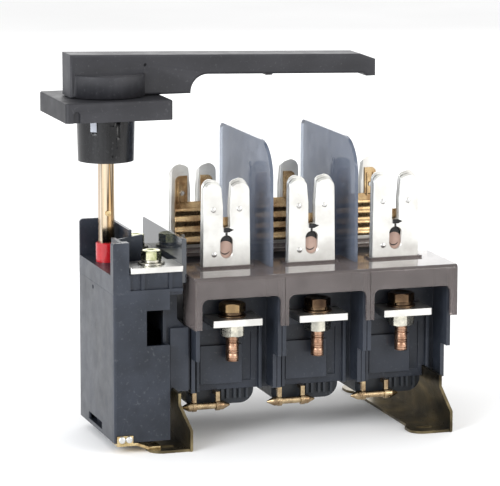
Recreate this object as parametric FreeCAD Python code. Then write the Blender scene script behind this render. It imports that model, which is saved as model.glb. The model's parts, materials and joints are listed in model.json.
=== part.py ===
"""Three-pole fuse switch with a solid neutral link, worked by a door handle on an extension shaft.

Millimetres, +X to the right along the row of poles, +Y to the rear, +Z up from the mounting plane.
The origin is the centre of the four mounting slots, on the mounting plane. The heights below are from
a datum plane 1 mm under the strip that carries the box, FOOT_DROP above the mounting plane, and the
last step lifts every node by that much.
"""
import FreeCAD, Part
import math
import os
from collections import namedtuple

V = FreeCAD.Vector
X_AXIS = V(1, 0, 0)
Y_AXIS = V(0, 1, 0)
Z_AXIS = V(0, 0, 1)

# ---- driving dimensions -------------------------------------------------------------------------

# row of poles
POLE_COUNT = 3
POLE_PITCH = 66.0
POLE_GAP = 0.4               # between two neighbouring pole bases
BASE_Z0 = 32.0
BASE_Z1 = 118.0
BASE_HALF_DEPTH = 48.0
BASE_WALL = 3.0
FIN_HALF_DEPTH = 76.0        # side fins between neighbouring terminals
FIN_T = 3.0
PANEL_PROUD = 3.0            # raised lower panel on each end of a pole base
PANEL_X = (-22.0, 10.0)      # its two edges, from the pole centre

# arc chamber under each pole
CHAMBER_X = (-31.5, 20.5)    # its two sides, from the pole centre
CHAMBER_Z0 = 20.5
CHAMBER_HALF_DEPTH = 46.0
CHAMBER_R = 10.5
CHAMBER_WALL = 2.5

# terminals
LUG_END_Y = 74.3             # from the pole centre to a lug's outer edge
LUG_W = 38.0
LUG_T = 5.0
LUG_TOP_Z = 89.0
BOLT_Y = 59.0
BOLT_D = 10.0
BOLT_LENGTH = 38.0
NEUTRAL_BOLT_D = 8.0
NEUTRAL_BOLT_LENGTH = 22.0
BOLT_CLEAR = 1.0             # hole over bolt, in diameter

# hexagon bolts with their washers; af is across flats, and each washer is outer diameter, thickness
Hardware = namedtuple("Hardware", "d length af head_h nut_h spring flat")
POLE_BOLT = Hardware(BOLT_D, BOLT_LENGTH, 17.0, 6.4, 9.3, (17.6, 2.4), (21.0, 1.6))
NEUTRAL_BOLT = Hardware(NEUTRAL_BOLT_D, NEUTRAL_BOLT_LENGTH, 13.0, 6.5, 6.5, (14.4, 2.0), (19.5, 1.6))

# fuse clips
CLIP_FACE_Y = 45.5           # outer face of each clip from the pole centre
CLIP_W = 37.0
CLIP_RISE = 70.0             # above the base
CLIP_FOOT_Z = 100.0
CLIP_PLATE_T = 3.0
CLIP_GAP = 1.4
CLIP_PLATES = 2
CLIP_SLOT_W = 5.4
CLIP_SLOT_FOOT_RISE = 34.0
CLIP_HOLE_W = 9.5
CLIP_HOLE_RISE = (11.5, 28.5)
CLIP_SHOULDER_R = 6.5
CLIP_TAPER = 0.9
LYRE_T = 1.2
LYRE_W = 31.0
CLIP_STEP = 2.6              # the outer plate is this much lower than the inner one
CLIP_FLARE = 1.4             # how much the slot opens each side at the top
RIVET_D = 2.6
RIVET_HEAD_D = 4.4

# contacts and their drive
CONTACT_W = 6.0
CONTACT_X = -10.0            # fixed contact tongue's middle, from the pole centre
CONTACT_CLEAR = 0.3
CONTACT_LENGTH = 8.0
BAR_T = 7.25
BAR_Z0 = 69.0
BAR_H = 9.0
MODULE = 1.0
PINION_TEETH = 15
IDLER_TEETH = 17
PRESSURE_ANGLE = 20.0
BACKLASH = 0.22
HANDLE_SWING = 90.0

# mechanism box, at the left end of the row
BOX_W = 42.2
BRIDGE_W = 18.8              # gap between the box and the first pole
BOX_Y0 = -73.3
BOX_Y1 = 23.0
BOX_Z0 = 3.0
BOX_Z1 = 112.4
BOX_WALL = 2.5
COVER_T = 2.0
BRIDGE_Y = (-62.0, 20.0)     # narrow link from the box to the first pole
BRIDGE_Z0 = 37.0
BRIDGE_Z1 = (84.0, 90.0, 109.5)      # its top: at the pole, past the chamfer, at the box
BRIDGE_STEP_X = 9.8          # from the pole to where the top steps up
WINDOW_W = 17.4
WINDOW_Z = (73.5, 99.5)
CAP_Z1 = 125.8
HOOD_Z1 = 153.0
POST_Z1 = 150.0
NEUTRAL_INSET = 12.8         # terminal block's left side, from the box's left side
NEUTRAL_PROUD = 10.1         # its right side, past the box's right side
NEUTRAL_BLOCK_Z = (110.0, 127.3)
NEUTRAL_LINK_T = 4.0
NEUTRAL_BOLT_INSET = 32.4    # the two bolts, from the box's left side
NEUTRAL_REAR_INSET = 39.3
NEUTRAL_REAR_Y = 9.0

# shaft line
AXIS_INSET = 12.5            # from the box's left side
AXIS_Y = -9.0
RUN_CLEAR = 0.05             # radial clearance of a running fit
SPINDLE_D = 10.0
COUPLER_WALL = 0.93          # over the corners of its square socket
COUPLER_Z = (106.0, 140.0)
SOCKET_Z = 119.0
SHAFT_SQ = 10.0
SHAFT_TOP_Z = 262.0
SHAFT_PIN_Z = 162.0
SHAFT_PIN_D = 4.0
PINION_Z = (84.0, 92.0)
IDLER_Z = (68.0, 92.0)
IDLER_PIN_D = 6.0
CAM_SQ = 14.0
CAM_Z = (34.0, 46.0)
DETENT_T = 0.8
DETENT_REACH = 19.3          # shaft line to the post of the detent spring

# handle, escutcheon and boss
ESC_SIZE = 80.0
ESC_Z = (234.2, 248.6)
ESC_WALL = 3.0
BOSS_Z0 = 201.0
BOSS_R_TOP = 21.5
BOSS_R_LOW = 20.6
BOSS_WALL = 3.0
INSERT_TURN = -39.5          # from the front of the boss to its indicator tab, in degrees
HUB_R = 29.5
HUB_TOP_Z = 266.0
HANDLE_Z0 = 249.3
HANDLE_W = 26.0
HANDLE_REACH = 205.3         # axis to tip
HANDLE_TOP_Z = 280.5
HANDLE_FALL = 0.028          # slope of the lever's top and underside
GRIP_T = 14.6
GRIP_START = 74.5            # axis to where the underside of the grip begins
THROAT_R = 13.0
LOCK_TRAVEL = 6.0

# barriers and shroud
BARRIER_T = 2.4
BARRIER_Y = (-51.0, 75.0)
BARRIER_LIFT = 0.5
BARRIER_H = 95.5
BARRIER_R_FRONT = 27.0
BARRIER_R_BACK = 8.0
NEUTRAL_BARRIER_Y = (-69.0, 34.0)
NEUTRAL_BARRIER_Z = (118.0, 150.5)
SHROUD_FACE_Y = 82.9
SHROUD_RISE = 4.6            # its top above the base
SHROUD_T = 2.4
SHROUD_LEG_Z = 84.5
SHROUD_LEG_W = 6.0
SHROUD_ARCH_Z = 107.0
SHROUD_PAST_ROW = 2.4        # each end, past half a pitch from the last pole
SHROUD_SIDE_T = 2.2

# brackets
FOOT_DROP = 4.4              # mounting plane below the datum plane
SHEET_T = 2.0
SLOT_LEFT_OF_ROW = 21.7      # left slots, outside the row of poles
SLOT_INSIDE_ROW = 17.3       # right slots, under the last pole
SLOT_SPAN_Y = 140.0
SLOT_W = 7.0
SLOT_L = 14.0
FOOT_REACH = 31.0
FOOT_W = 26.0
FLANGE_REACH = 27.0
BRACKET_LEAN = 9.0
BRACKET_FACE_FROM_SLOT = 17.0
BRACKET_TOP_Z = 39.5
BRACKET_LEAN_Z = (11.5, 31.5)
STRIP_Y = (-75.5, -61.0)     # short strip that ties the left bracket to the box
STRIP_LAP = 9.0              # how far it lies on the bracket's foot
STRIP_INSET = 1.7
EAR_W = 12.0
EAR_Z1 = 8.6
EAR_SCREW_D = 3.0
EAR_SCREW_L = 6.0
EAR_SCREW_Z = 6.0

# pins under the poles
PIN_D = 5.0
PIN_LENGTH = 37.0
PIN_Z = 21.4
PIN_Y = -53.0
PIN_X = -18.6
EYE_SPACING = 18.0
EYE_D = 7.6
EYE_T = 3.2

# ---- worked out from them -----------------------------------------------------------------------

ENDS = (-1, 1)
POLE_ROW_W = POLE_COUNT * POLE_PITCH - POLE_GAP
POLE_ROW_X = (SLOT_LEFT_OF_ROW + SLOT_INSIDE_ROW) / 2       # middle of the row, from the middle of the slots
SLOT_SPAN_X = POLE_ROW_W + SLOT_LEFT_OF_ROW - SLOT_INSIDE_ROW
POLE_X = [POLE_ROW_X + (i - (POLE_COUNT - 1) / 2) * POLE_PITCH for i in range(POLE_COUNT)]
POLE_HALF_W = (POLE_PITCH - POLE_GAP) / 2
BASE_X0 = POLE_X[0] - POLE_HALF_W
BOX_X1 = BASE_X0 - BRIDGE_W
BOX_X0 = BOX_X1 - BOX_W
WINDOW_X0 = BOX_X1 - WINDOW_W
NEUTRAL_BLOCK_X = (BOX_X0 + NEUTRAL_INSET, BOX_X1 + NEUTRAL_PROUD)
NEUTRAL_BOLT_X = BOX_X0 + NEUTRAL_BOLT_INSET
NEUTRAL_REAR_X = BOX_X0 + NEUTRAL_REAR_INSET
STRIP_X0 = BOX_X0 + STRIP_INSET
AXIS_X = BOX_X0 + AXIS_INSET
DETENT_POST_X = AXIS_X + DETENT_REACH
COUPLER_D = SHAFT_SQ * math.sqrt(2) + 2 * COUPLER_WALL
CLIP_TOP_Z = BASE_Z1 + CLIP_RISE
CLIP_SLOT_FOOT_Z = BASE_Z1 + CLIP_SLOT_FOOT_RISE
CLIP_HOLE_Z = tuple(BASE_Z1 + rise for rise in CLIP_HOLE_RISE)
BARRIER_Z = (BASE_Z1 + BARRIER_LIFT, BASE_Z1 + BARRIER_LIFT + BARRIER_H)
SHROUD_TOP_Z = BASE_Z1 + SHROUD_RISE
SHROUD_END_X = POLE_COUNT * POLE_PITCH / 2 + SHROUD_PAST_ROW
PINION_R = MODULE * PINION_TEETH / 2
IDLER_R = MODULE * IDLER_TEETH / 2
IDLER_X = AXIS_X + PINION_R + IDLER_R
BAR_STROKE = PINION_R * math.radians(HANDLE_SWING)
RACK_LINE_Y = AXIS_Y + IDLER_R
BAR_Y0 = RACK_LINE_Y + 1.25 * MODULE
BAR_Y1 = BAR_Y0 + BAR_T
BAR_X0 = IDLER_X - 5.5
BAR_X1 = POLE_X[-1] + 12.0
BAR_Z1 = BAR_Z0 + BAR_H
CLIP_INNER_Y = CLIP_FACE_Y - CLIP_PLATES * CLIP_PLATE_T - (CLIP_PLATES - 1) * CLIP_GAP
LUG_UNDER_Z = LUG_TOP_Z - LUG_T
NEUTRAL_TOP_Z = NEUTRAL_BLOCK_Z[1] + NEUTRAL_LINK_T


# ---- shape helpers ------------------------------------------------------------------------------

def box(x0, x1, y0, y1, z0, z1):
    """Axis-aligned block between two corners, given in either order."""
    lo = V(min(x0, x1), min(y0, y1), min(z0, z1))
    return Part.makeBox(abs(x1 - x0), abs(y1 - y0), abs(z1 - z0), lo)


def cyl(radius, start, axis, length):
    """Cylinder from a start point along an axis."""
    return Part.makeCylinder(radius, length, V(*start), axis)


def ring(d_in, d_out, start, axis, length):
    """Flat ring or tube."""
    return cyl(d_out / 2, start, axis, length).cut(cyl(d_in / 2, start, axis, length))


def prism(points, axis, lo, hi):
    """Polygon in the plane square to an axis, pushed from lo to hi along it.

    The points are (y, z) for the X axis, (x, z) for the Y axis and (x, y) for the Z axis.
    """
    place = {"X": lambda p: V(lo, p[0], p[1]),
             "Y": lambda p: V(p[0], lo, p[1]),
             "Z": lambda p: V(p[0], p[1], lo)}
    push = {"X": X_AXIS, "Y": Y_AXIS, "Z": Z_AXIS}[axis] * (hi - lo)
    wire = Part.makePolygon([place[axis](p) for p in points + points[:1]])
    return Part.Face(wire).extrude(push)


def hexagon(af, centre, z0, height):
    """Hexagonal prism across flats af, axis +Z."""
    r = af / 2 / math.cos(math.pi / 6)
    points = [(centre[0] + r * math.cos(math.pi / 3 * k), centre[1] + r * math.sin(math.pi / 3 * k))
              for k in range(6)]
    return prism(points, "Z", z0, z0 + height)


def join(shapes):
    """One solid out of shapes that meet."""
    first, *rest = shapes
    return first.fuse(rest).removeSplitter() if rest else first


def group(shapes):
    """Separate solids kept side by side in one node."""
    return Part.makeCompound([s for shape in shapes for s in shape.Solids])


def rounded(shape, radius, pick):
    """Fillet the edges that pick(edge) accepts."""
    edges = [e for e in shape.Edges if pick(e)]
    return shape.makeFillet(radius, edges) if edges else shape


def along(edge, axis):
    """True for a straight edge parallel to an axis."""
    if edge.Curve.TypeId != "Part::GeomLine":
        return False
    return abs(abs(edge.Curve.Direction.dot(axis)) - 1) < 1e-6


def at(edge, x=None, y=None, z=None, tol=0.05):
    """True where the middle of an edge lies on the planes given."""
    box_ = edge.BoundBox
    middle = box_.Center
    return all(want is None or abs(have - want) < tol
               for want, have in ((x, middle.x), (y, middle.y), (z, middle.z)))


def plate_yz(x0, x1, y0, y1, z0, z1, r_front, r_back):
    """Upright plate square to X with its two top corners rounded."""
    body = box(x0, x1, y0, y1, z0, z1)
    body = rounded(body, r_front, lambda e: along(e, X_AXIS) and at(e, y=y0, z=z1))
    return rounded(body, r_back, lambda e: along(e, X_AXIS) and at(e, y=y1, z=z1))


def mirrored_y(shape):
    """Copy mirrored from the front half to the rear half."""
    return shape.mirror(V(0, 0, 0), Y_AXIS)


def facing(shape, end):
    """The front shape itself for end -1, its mirror image at the rear for end +1."""
    return shape if end < 0 else mirrored_y(shape)


# ---- gears --------------------------------------------------------------------------------------

def involute_gear(teeth, centre, z0, z1, bore_r, phase):
    """Spur gear with involute flanks; phase is the direction of one tooth's middle, in radians."""
    pitch_r = MODULE * teeth / 2
    base_r = pitch_r * math.cos(math.radians(PRESSURE_ANGLE))
    tip_r = pitch_r + MODULE
    root_r = pitch_r - 1.25 * MODULE
    inv = math.tan(math.radians(PRESSURE_ANGLE)) - math.radians(PRESSURE_ANGLE)
    half = math.pi / 2 / teeth - BACKLASH / 2 / (2 * pitch_r) + inv
    start_r = max(base_r, root_r)
    steps = 5
    flank = []
    for k in range(steps + 1):
        r = start_r + (tip_r - start_r) * k / steps
        a = math.acos(min(1.0, base_r / r))
        flank.append((r, half - (math.tan(a) - a)))
    points = []
    for tooth in range(teeth):
        mid = phase + 2 * math.pi * tooth / teeth
        polar = [(root_r, -flank[0][1])] + [(r, -t) for r, t in flank]
        polar += [(r, t) for r, t in reversed(flank)] + [(root_r, flank[0][1])]
        points += [(centre[0] + r * math.cos(mid + t), centre[1] + r * math.sin(mid + t)) for r, t in polar]
    gear = prism(points, "Z", z0, z1)
    return gear.cut(cyl(bore_r, (centre[0], centre[1], z0 - 1), Z_AXIS, z1 - z0 + 2))


def rack_teeth(x0, count, z0, z1):
    """Straight rack teeth that point to -Y from the bar's front face; x0 is the first gap's middle."""
    slope = math.tan(math.radians(PRESSURE_ANGLE))
    pitch = math.pi * MODULE
    half = pitch / 4 - BACKLASH / 2
    teeth = []
    for k in range(count):
        mid = x0 + pitch * (k + 0.5)
        wide = half + slope * 1.25 * MODULE
        slim = half - slope * MODULE
        teeth.append(prism([(mid - wide, BAR_Y0 + 0.01), (mid - slim, RACK_LINE_Y - MODULE),
                            (mid + slim, RACK_LINE_Y - MODULE), (mid + wide, BAR_Y0 + 0.01)], "Z", z0, z1))
    return teeth


# ---- mounting brackets --------------------------------------------------------------------------

def bracket(slot_x):
    """Bent sheet bracket: a flange with two slotted feet, a leaning web and an upright tab."""
    face_x = slot_x + BRACKET_FACE_FROM_SLOT
    half = SLOT_SPAN_Y / 2 + FOOT_W / 2 + 1.0
    lean0, lean1 = BRACKET_LEAN_Z
    t = SHEET_T
    top_x = face_x - BRACKET_LEAN
    z0 = -FOOT_DROP
    z1 = z0 + t
    web = prism([(face_x, z0), (face_x, lean0), (top_x, lean1), (top_x, BRACKET_TOP_Z),
                 (top_x - t, BRACKET_TOP_Z), (top_x - t, lean1 - 0.6), (face_x - t, lean0 - 0.6),
                 (face_x - t, z0)], "Y", -half, half)
    web = rounded(web, 1.4, lambda e: along(e, Y_AXIS) and at(e, x=face_x, z=z0))
    flange = box(face_x - FLANGE_REACH, face_x - t, -half + 8, half - 8, z0, z1)
    pieces = [web, flange]
    slots = []
    for end in ENDS:
        y = end * SLOT_SPAN_Y / 2
        tip_x = face_x - FOOT_REACH
        foot = box(tip_x, face_x - t, y - FOOT_W / 2, y + FOOT_W / 2, z0, z1)
        pieces.append(rounded(foot, FOOT_W / 2 - 3, lambda e: along(e, Z_AXIS) and at(e, x=tip_x)))
        reach = (SLOT_L - SLOT_W) / 2
        slots.append(box(slot_x - reach, slot_x + reach, y - SLOT_W / 2, y + SLOT_W / 2, z0 - 1, z1 + 1))
        slots += [cyl(SLOT_W / 2, (slot_x + side * reach, y, z0 - 1), Z_AXIS, t + 2) for side in ENDS]
    body = join(pieces)
    for slot in slots:
        body = body.cut(slot)
    return body.removeSplitter()


def tab_slot(slot_x, y_half):
    """Cutter for the slot that takes a bracket's tab."""
    top_x = slot_x + BRACKET_FACE_FROM_SLOT - BRACKET_LEAN
    return box(top_x - SHEET_T - 0.1, top_x + 0.1, -y_half, y_half,
               BRACKET_LEAN_Z[0] + 10, BRACKET_TOP_Z + 0.3)


def base_strip():
    """Strip with an ear on the front of the box, joggled down onto the left bracket's foot."""
    foot_x = -SLOT_SPAN_X / 2 + BRACKET_FACE_FROM_SLOT - FOOT_REACH
    low = BOX_Z0 - SHEET_T
    bend_x = foot_x - STRIP_LAP
    foot_top = SHEET_T - FOOT_DROP
    path = [(STRIP_X0, low), (bend_x, low), (foot_x - 0.5, foot_top), (foot_x + STRIP_LAP, foot_top),
            (foot_x + STRIP_LAP, foot_top + SHEET_T), (foot_x, foot_top + SHEET_T), (bend_x + 0.5, BOX_Z0),
            (STRIP_X0, BOX_Z0)]
    strip = prism(path, "Y", *STRIP_Y)
    ear = box(STRIP_X0, STRIP_X0 + EAR_W, STRIP_Y[0], BOX_Y0, low, EAR_Z1)
    return join([strip, ear]).cut(group(ear_screw_holes()))


def ear_screw_holes():
    """Cutters for the two small screws, through the ear and the wall of the box."""
    return [cyl(EAR_SCREW_D / 2, (x, STRIP_Y[0] - 1, EAR_SCREW_Z), Y_AXIS, EAR_SCREW_L + 1)
            for x in ear_screw_x()]


def ear_screw_x():
    """Places of the two small screws in the ear."""
    return [STRIP_X0 + 3.4, STRIP_X0 + 8.8]


def ear_screws():
    """Two small round-head screws through the ear into the box."""
    screws = []
    for x in ear_screw_x():
        shank = cyl(EAR_SCREW_D / 2, (x, STRIP_Y[0], EAR_SCREW_Z), Y_AXIS, EAR_SCREW_L)
        head = cyl(EAR_SCREW_D * 0.85, (x, STRIP_Y[0] - 1.8, EAR_SCREW_Z), Y_AXIS, 1.8)
        head = rounded(head, 0.9, lambda e: at(e, y=STRIP_Y[0] - 1.8))
        screws.append(join([shank, head]))
    return screws


# ---- poles --------------------------------------------------------------------------------------

def pole_base(cx, last):
    """Moulded pole base: hollow body, side fins between terminals and seats for lugs and clips."""
    x0 = cx - POLE_HALF_W
    x1 = cx + POLE_HALF_W
    body = box(x0, x1, -BASE_HALF_DEPTH, BASE_HALF_DEPTH, BASE_Z0, BASE_Z1)
    parts = [body]
    for end in ENDS:
        y_in = end * BASE_HALF_DEPTH
        for side in ENDS:
            edge = x0 if side < 0 else x1
            fin = box(edge, edge - side * FIN_T, y_in - end, end * FIN_HALF_DEPTH, 60.0, BASE_Z1)
            low = box(edge, edge - side * FIN_T, y_in - end, end * (FIN_HALF_DEPTH - 12), BASE_Z0 + 2, 60.0)
            rib = box(edge - side * 7.5, edge - side * 10.0, y_in - end, end * (BASE_HALF_DEPTH + 4),
                      BASE_Z0, 80.0)
            parts += [fin, low, rib]
        parts.append(box(cx + PANEL_X[0], cx + PANEL_X[1], y_in - end, end * (BASE_HALF_DEPTH + PANEL_PROUD),
                         BASE_Z0 + 5, 66.0))
        parts.append(box(cx - LUG_W / 2 - 1, cx + LUG_W / 2 + 1, y_in - end, end * (BASE_HALF_DEPTH + 1.5),
                         LUG_UNDER_Z - 6, LUG_UNDER_Z))
    body = join(parts)
    w = BASE_WALL
    cavity = box(x0 + w, x1 - w, -BASE_HALF_DEPTH + w, BASE_HALF_DEPTH - w, BASE_Z0 + w, BASE_Z1 - w)
    throat = box(cx + CHAMBER_X[0] + CHAMBER_WALL, cx + CHAMBER_X[1] - CHAMBER_WALL,
                 -CHAMBER_HALF_DEPTH + CHAMBER_WALL, CHAMBER_HALF_DEPTH - CHAMBER_WALL,
                 BASE_Z0 - 1, BASE_Z0 + w + 1)
    body = body.cut(cavity).cut(throat)
    # inner ledges that carry the lugs' tongues
    ledges = []
    for end in ENDS:
        ledges.append(box(x0 + 1, x1 - 1, end * (BASE_HALF_DEPTH - 1), end * (BASE_HALF_DEPTH - w - 8),
                          LUG_UNDER_Z - 4, LUG_UNDER_Z))
    body = join([body] + ledges)
    cuts = []
    slack = 0.1
    for end in ENDS:
        # slot where the lug passes out, and the slot of the clip in the top
        cuts.append(box(cx - LUG_W / 2 - slack, cx + LUG_W / 2 + slack, end * (BASE_HALF_DEPTH + 6),
                        end * (BASE_HALF_DEPTH - w - 0.5), LUG_UNDER_Z, LUG_TOP_Z + slack))
        cuts.append(box(cx - CLIP_W / 2 - slack, cx + CLIP_W / 2 + slack, end * (CLIP_FACE_Y + slack),
                        end * (CLIP_INNER_Y - slack), CLIP_FOOT_Z, BASE_Z1 + 1))
        cuts.append(box(cx + 11.5, cx + 18, end * (BASE_HALF_DEPTH + 6), end * (BASE_HALF_DEPTH - 1.2),
                        BASE_Z0 + 6, 74.0))
    # passage of the drive bar through both side walls
    for near, far, wanted in ((x0 - 1, x0 + w + 1, True), (x1 - w - 1, x1 + 1, not last)):
        if wanted:
            cuts.append(box(near, far, BAR_Y0 - 2.2, BAR_Y1 + 1.0, BAR_Z0 - 1.0, BAR_Z1 + 1.0))
    if last:
        cuts.append(tab_slot(SLOT_SPAN_X / 2, FIN_HALF_DEPTH))
    for cutter in cuts:
        body = body.cut(cutter)
    return body.removeSplitter()


def arc_chamber(cx):
    """Rounded hollow trough that closes the pole base from below."""
    x0 = cx + CHAMBER_X[0]
    x1 = cx + CHAMBER_X[1]
    y = CHAMBER_HALF_DEPTH
    w = CHAMBER_WALL
    r_left = CHAMBER_R / 2
    shapes = []
    for inset, z_top in ((0, BASE_Z0), (w, BASE_Z0 + 1)):
        z_low = CHAMBER_Z0 + inset
        trough = box(x0 + inset, x1 - inset, -y + inset, y - inset, z_low, z_top)
        trough = rounded(trough, CHAMBER_R - inset,
                         lambda e: along(e, Y_AXIS) and at(e, x=x1 - inset, z=z_low))
        trough = rounded(trough, r_left - inset / 2,
                         lambda e: along(e, Y_AXIS) and at(e, x=x0 + inset, z=z_low))
        shapes.append(trough)
    body = shapes[0].cut(shapes[1])
    ribs = []
    for dx in (-4.0, 0.0, 5.5, 9.5, 15.0):
        ribs.append(box(cx + dx - 1.0, cx + dx + 1.0, -y - 2, -y + 1, CHAMBER_Z0 + 4, BASE_Z0))
    fins = [box(x0 + 8, x1 - 8, fy, fy + 1.2, CHAMBER_Z0 + 1, BASE_Z0 - 1) for fy in (-20.0, -10.0, 8.8, 18.8)]
    return join([body] + ribs + fins)


def terminal_lug(cx):
    """Front terminal: flat copper lug, a bolt hole and the fixed contact tongue inside."""
    w = LUG_W / 2
    wall = BASE_HALF_DEPTH - BASE_WALL
    plate = box(cx - w, cx + w, -LUG_END_Y, -wall, LUG_UNDER_Z, LUG_TOP_Z)
    plate = rounded(plate, 1.2, lambda e: along(e, Z_AXIS) and at(e, y=-LUG_END_Y))
    x = cx + CONTACT_X
    tongue = box(x - CONTACT_W / 2, x + CONTACT_W / 2, -wall - 1, -wall + CONTACT_LENGTH,
                 LUG_UNDER_Z, LUG_TOP_Z)
    hole = cyl((BOLT_D + BOLT_CLEAR) / 2, (cx, -BOLT_Y, LUG_UNDER_Z - 1), Z_AXIS, LUG_T + 2)
    return join([plate, tongue]).cut(hole)


def clip_outline(cx, w_foot, w_top, z0, z1):
    """Outline of a clip plate, in x and z: straight sides that taper a little towards the top."""
    return [(cx - w_foot, z0), (cx + w_foot, z0), (cx + w_top, z1), (cx - w_top, z1)]


def clip_cutters(cx, y0, y1):
    """Mouth, slot, slit and oval hole of a fuse clip, cut through every plate."""
    half = CLIP_SLOT_W / 2
    flare_z = CLIP_TOP_Z - 20
    mouth = prism([(cx - half, flare_z), (cx + half, flare_z), (cx + half + CLIP_FLARE, CLIP_TOP_Z + 1),
                   (cx - half - CLIP_FLARE, CLIP_TOP_Z + 1)], "Y", y0, y1)
    slot = box(cx - half, cx + half, y0, y1, CLIP_SLOT_FOOT_Z, CLIP_TOP_Z + 1)
    slit = box(cx - 0.7, cx + 0.7, y0, y1, CLIP_HOLE_Z[1] - 4, CLIP_SLOT_FOOT_Z + 1)
    r = CLIP_HOLE_W / 2
    z_lo, z_hi = CLIP_HOLE_Z[0] + r, CLIP_HOLE_Z[1] - r
    oval = box(cx - r, cx + r, y0, y1, z_lo, z_hi)
    oval = oval.fuse([cyl(r, (cx, y0, z), Y_AXIS, y1 - y0) for z in (z_lo, z_hi)])
    return [mouth, slot, slit, oval]


def rivet_places(cx):
    """Places of the rivets on a clip's face, as (x, z)."""
    return [(cx - 10.0, CLIP_TOP_Z - 22.0), (cx + 10.0, CLIP_TOP_Z - 22.0), (cx - 9.5, BASE_Z1 + 14.8)]


def fuse_clip(cx):
    """Front fuse clip: silver-plated plates with a common foot and a contact leg inside the base."""
    plates = []
    for k in range(CLIP_PLATES):
        y0 = -CLIP_FACE_Y + k * (CLIP_PLATE_T + CLIP_GAP)
        top = CLIP_TOP_Z - (CLIP_PLATES - 1 - k) * CLIP_STEP
        outline = clip_outline(cx, CLIP_W / 2, CLIP_W / 2 - CLIP_TAPER, BASE_Z1 - 12, top)
        plate = prism(outline, "Y", y0, y0 + CLIP_PLATE_T)
        plate = rounded(plate, CLIP_SHOULDER_R, lambda e: along(e, Y_AXIS) and e.BoundBox.ZMin > top - 1)
        plates.append(plate)
    foot = box(cx - CLIP_W / 2, cx + CLIP_W / 2, -CLIP_FACE_Y + 0.5, -CLIP_INNER_Y, BASE_Z1 - 16, BASE_Z1 - 9)
    x = cx + CONTACT_X
    wall = BASE_HALF_DEPTH - BASE_WALL
    leg = box(x - CONTACT_W / 2, x + CONTACT_W / 2, -wall + 0.3, -wall + CONTACT_LENGTH,
              CLIP_FOOT_Z, BASE_Z1 - 12)
    body = join(plates + [foot, leg])
    for cutter in clip_cutters(cx, -CLIP_FACE_Y - 1, -CLIP_INNER_Y + 1):
        body = body.cut(cutter)
    for x_r, z_r in rivet_places(cx):
        body = body.cut(cyl(RIVET_D / 2, (x_r, -CLIP_FACE_Y - 1, z_r), Y_AXIS, 20))
    return body


def lyre_spring(cx):
    """Passivated spring plate on the inner side of a clip, with a dimple and cross ribs."""
    y0 = -CLIP_INNER_Y
    plate = prism(clip_outline(cx, LYRE_W / 2, LYRE_W / 2 - 0.5, BASE_Z1 + 8, CLIP_TOP_Z - 9),
                  "Y", y0, y0 + LYRE_T)
    plate = rounded(plate, 4.0, lambda e: along(e, Y_AXIS) and e.BoundBox.ZMin > CLIP_TOP_Z - 10)
    half = CLIP_SLOT_W / 2 + 2.2
    plate = plate.cut(box(cx - half, cx + half, y0 - 1, y0 + 3, CLIP_SLOT_FOOT_Z + 2, CLIP_TOP_Z))
    ribs = [box(cx - LYRE_W / 2 + 3, cx + LYRE_W / 2 - 3, y0 + LYRE_T - 0.2, y0 + LYRE_T + 1.0, z, z + 2.0)
            for z in (BASE_Z1 + 13.0, BASE_Z1 + 18.5, BASE_Z1 + 24.0)]
    dimple = cyl(3.2, (cx, y0 + LYRE_T - 0.2, CLIP_SLOT_FOOT_Z - 3), Y_AXIS, 1.0)
    body = join([plate, dimple] + ribs)
    for x_r, z_r in rivet_places(cx)[:2]:
        body = body.cut(cyl(RIVET_D / 2, (x_r, y0 - 1, z_r), Y_AXIS, 4))
    return body.cut(cyl(RIVET_D / 2, (rivet_places(cx)[2][0], y0 - 1, rivet_places(cx)[2][1]), Y_AXIS, 4))


def clip_rivet(x, z):
    """Domed rivet through both plates and the spring."""
    length = CLIP_FACE_Y - CLIP_INNER_Y + LYRE_T
    if z < BASE_Z1 + 30:
        length += 1.0
    head_r = RIVET_HEAD_D / 2
    shank = cyl(RIVET_D / 2, (x, -CLIP_FACE_Y, z), Y_AXIS, length)
    head = cyl(head_r, (x, -CLIP_FACE_Y - 0.6, z), Y_AXIS, 0.6)
    tail = cyl(head_r - 0.6, (x, -CLIP_FACE_Y + length, z), Y_AXIS, 0.6)
    return join([shank, head, tail])


def slot_stop(cx):
    """Small dark stop at the foot of the slot, with a pointer to the right, held in the slit."""
    y0 = -CLIP_FACE_Y - 1.0
    body = box(cx - 2.2, cx + 2.2, y0, -CLIP_FACE_Y, CLIP_SLOT_FOOT_Z - 3.0, CLIP_SLOT_FOOT_Z + 0.2)
    nose = prism([(cx + 2.0, CLIP_SLOT_FOOT_Z - 2.8), (cx + 5.4, CLIP_SLOT_FOOT_Z - 1.4),
                  (cx + 2.0, CLIP_SLOT_FOOT_Z)], "Y", y0, -CLIP_FACE_Y)
    tongue = box(cx - 0.6, cx + 0.6, -CLIP_FACE_Y - 0.5, -CLIP_FACE_Y + 2.5,
                 CLIP_SLOT_FOOT_Z - 2.6, CLIP_SLOT_FOOT_Z - 0.4)
    return join([body, nose, tongue])


# ---- contacts and drive bar ---------------------------------------------------------------------

def moving_contacts(cx):
    """The two bridging contacts of one pole, drawn in the open place."""
    x = cx + CONTACT_X + BAR_STROKE
    wall = BASE_HALF_DEPTH - BASE_WALL
    z0 = LUG_TOP_Z + CONTACT_CLEAR
    z1 = CLIP_FOOT_Z - CONTACT_CLEAR
    shapes = []
    for end in ENDS:
        block = box(x - CONTACT_W / 2, x + CONTACT_W / 2, end * (wall - 0.6),
                    end * (wall - CONTACT_LENGTH - 4), z0, z1)
        block = rounded(block, 1.0, lambda e: along(e, Y_AXIS))
        gap = box(x - CONTACT_W, x + CONTACT_W, end * wall, end * (wall - CONTACT_LENGTH), z0 + 3.0, z1 - 3.0)
        shapes.append(block.cut(gap))
    return shapes


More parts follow.
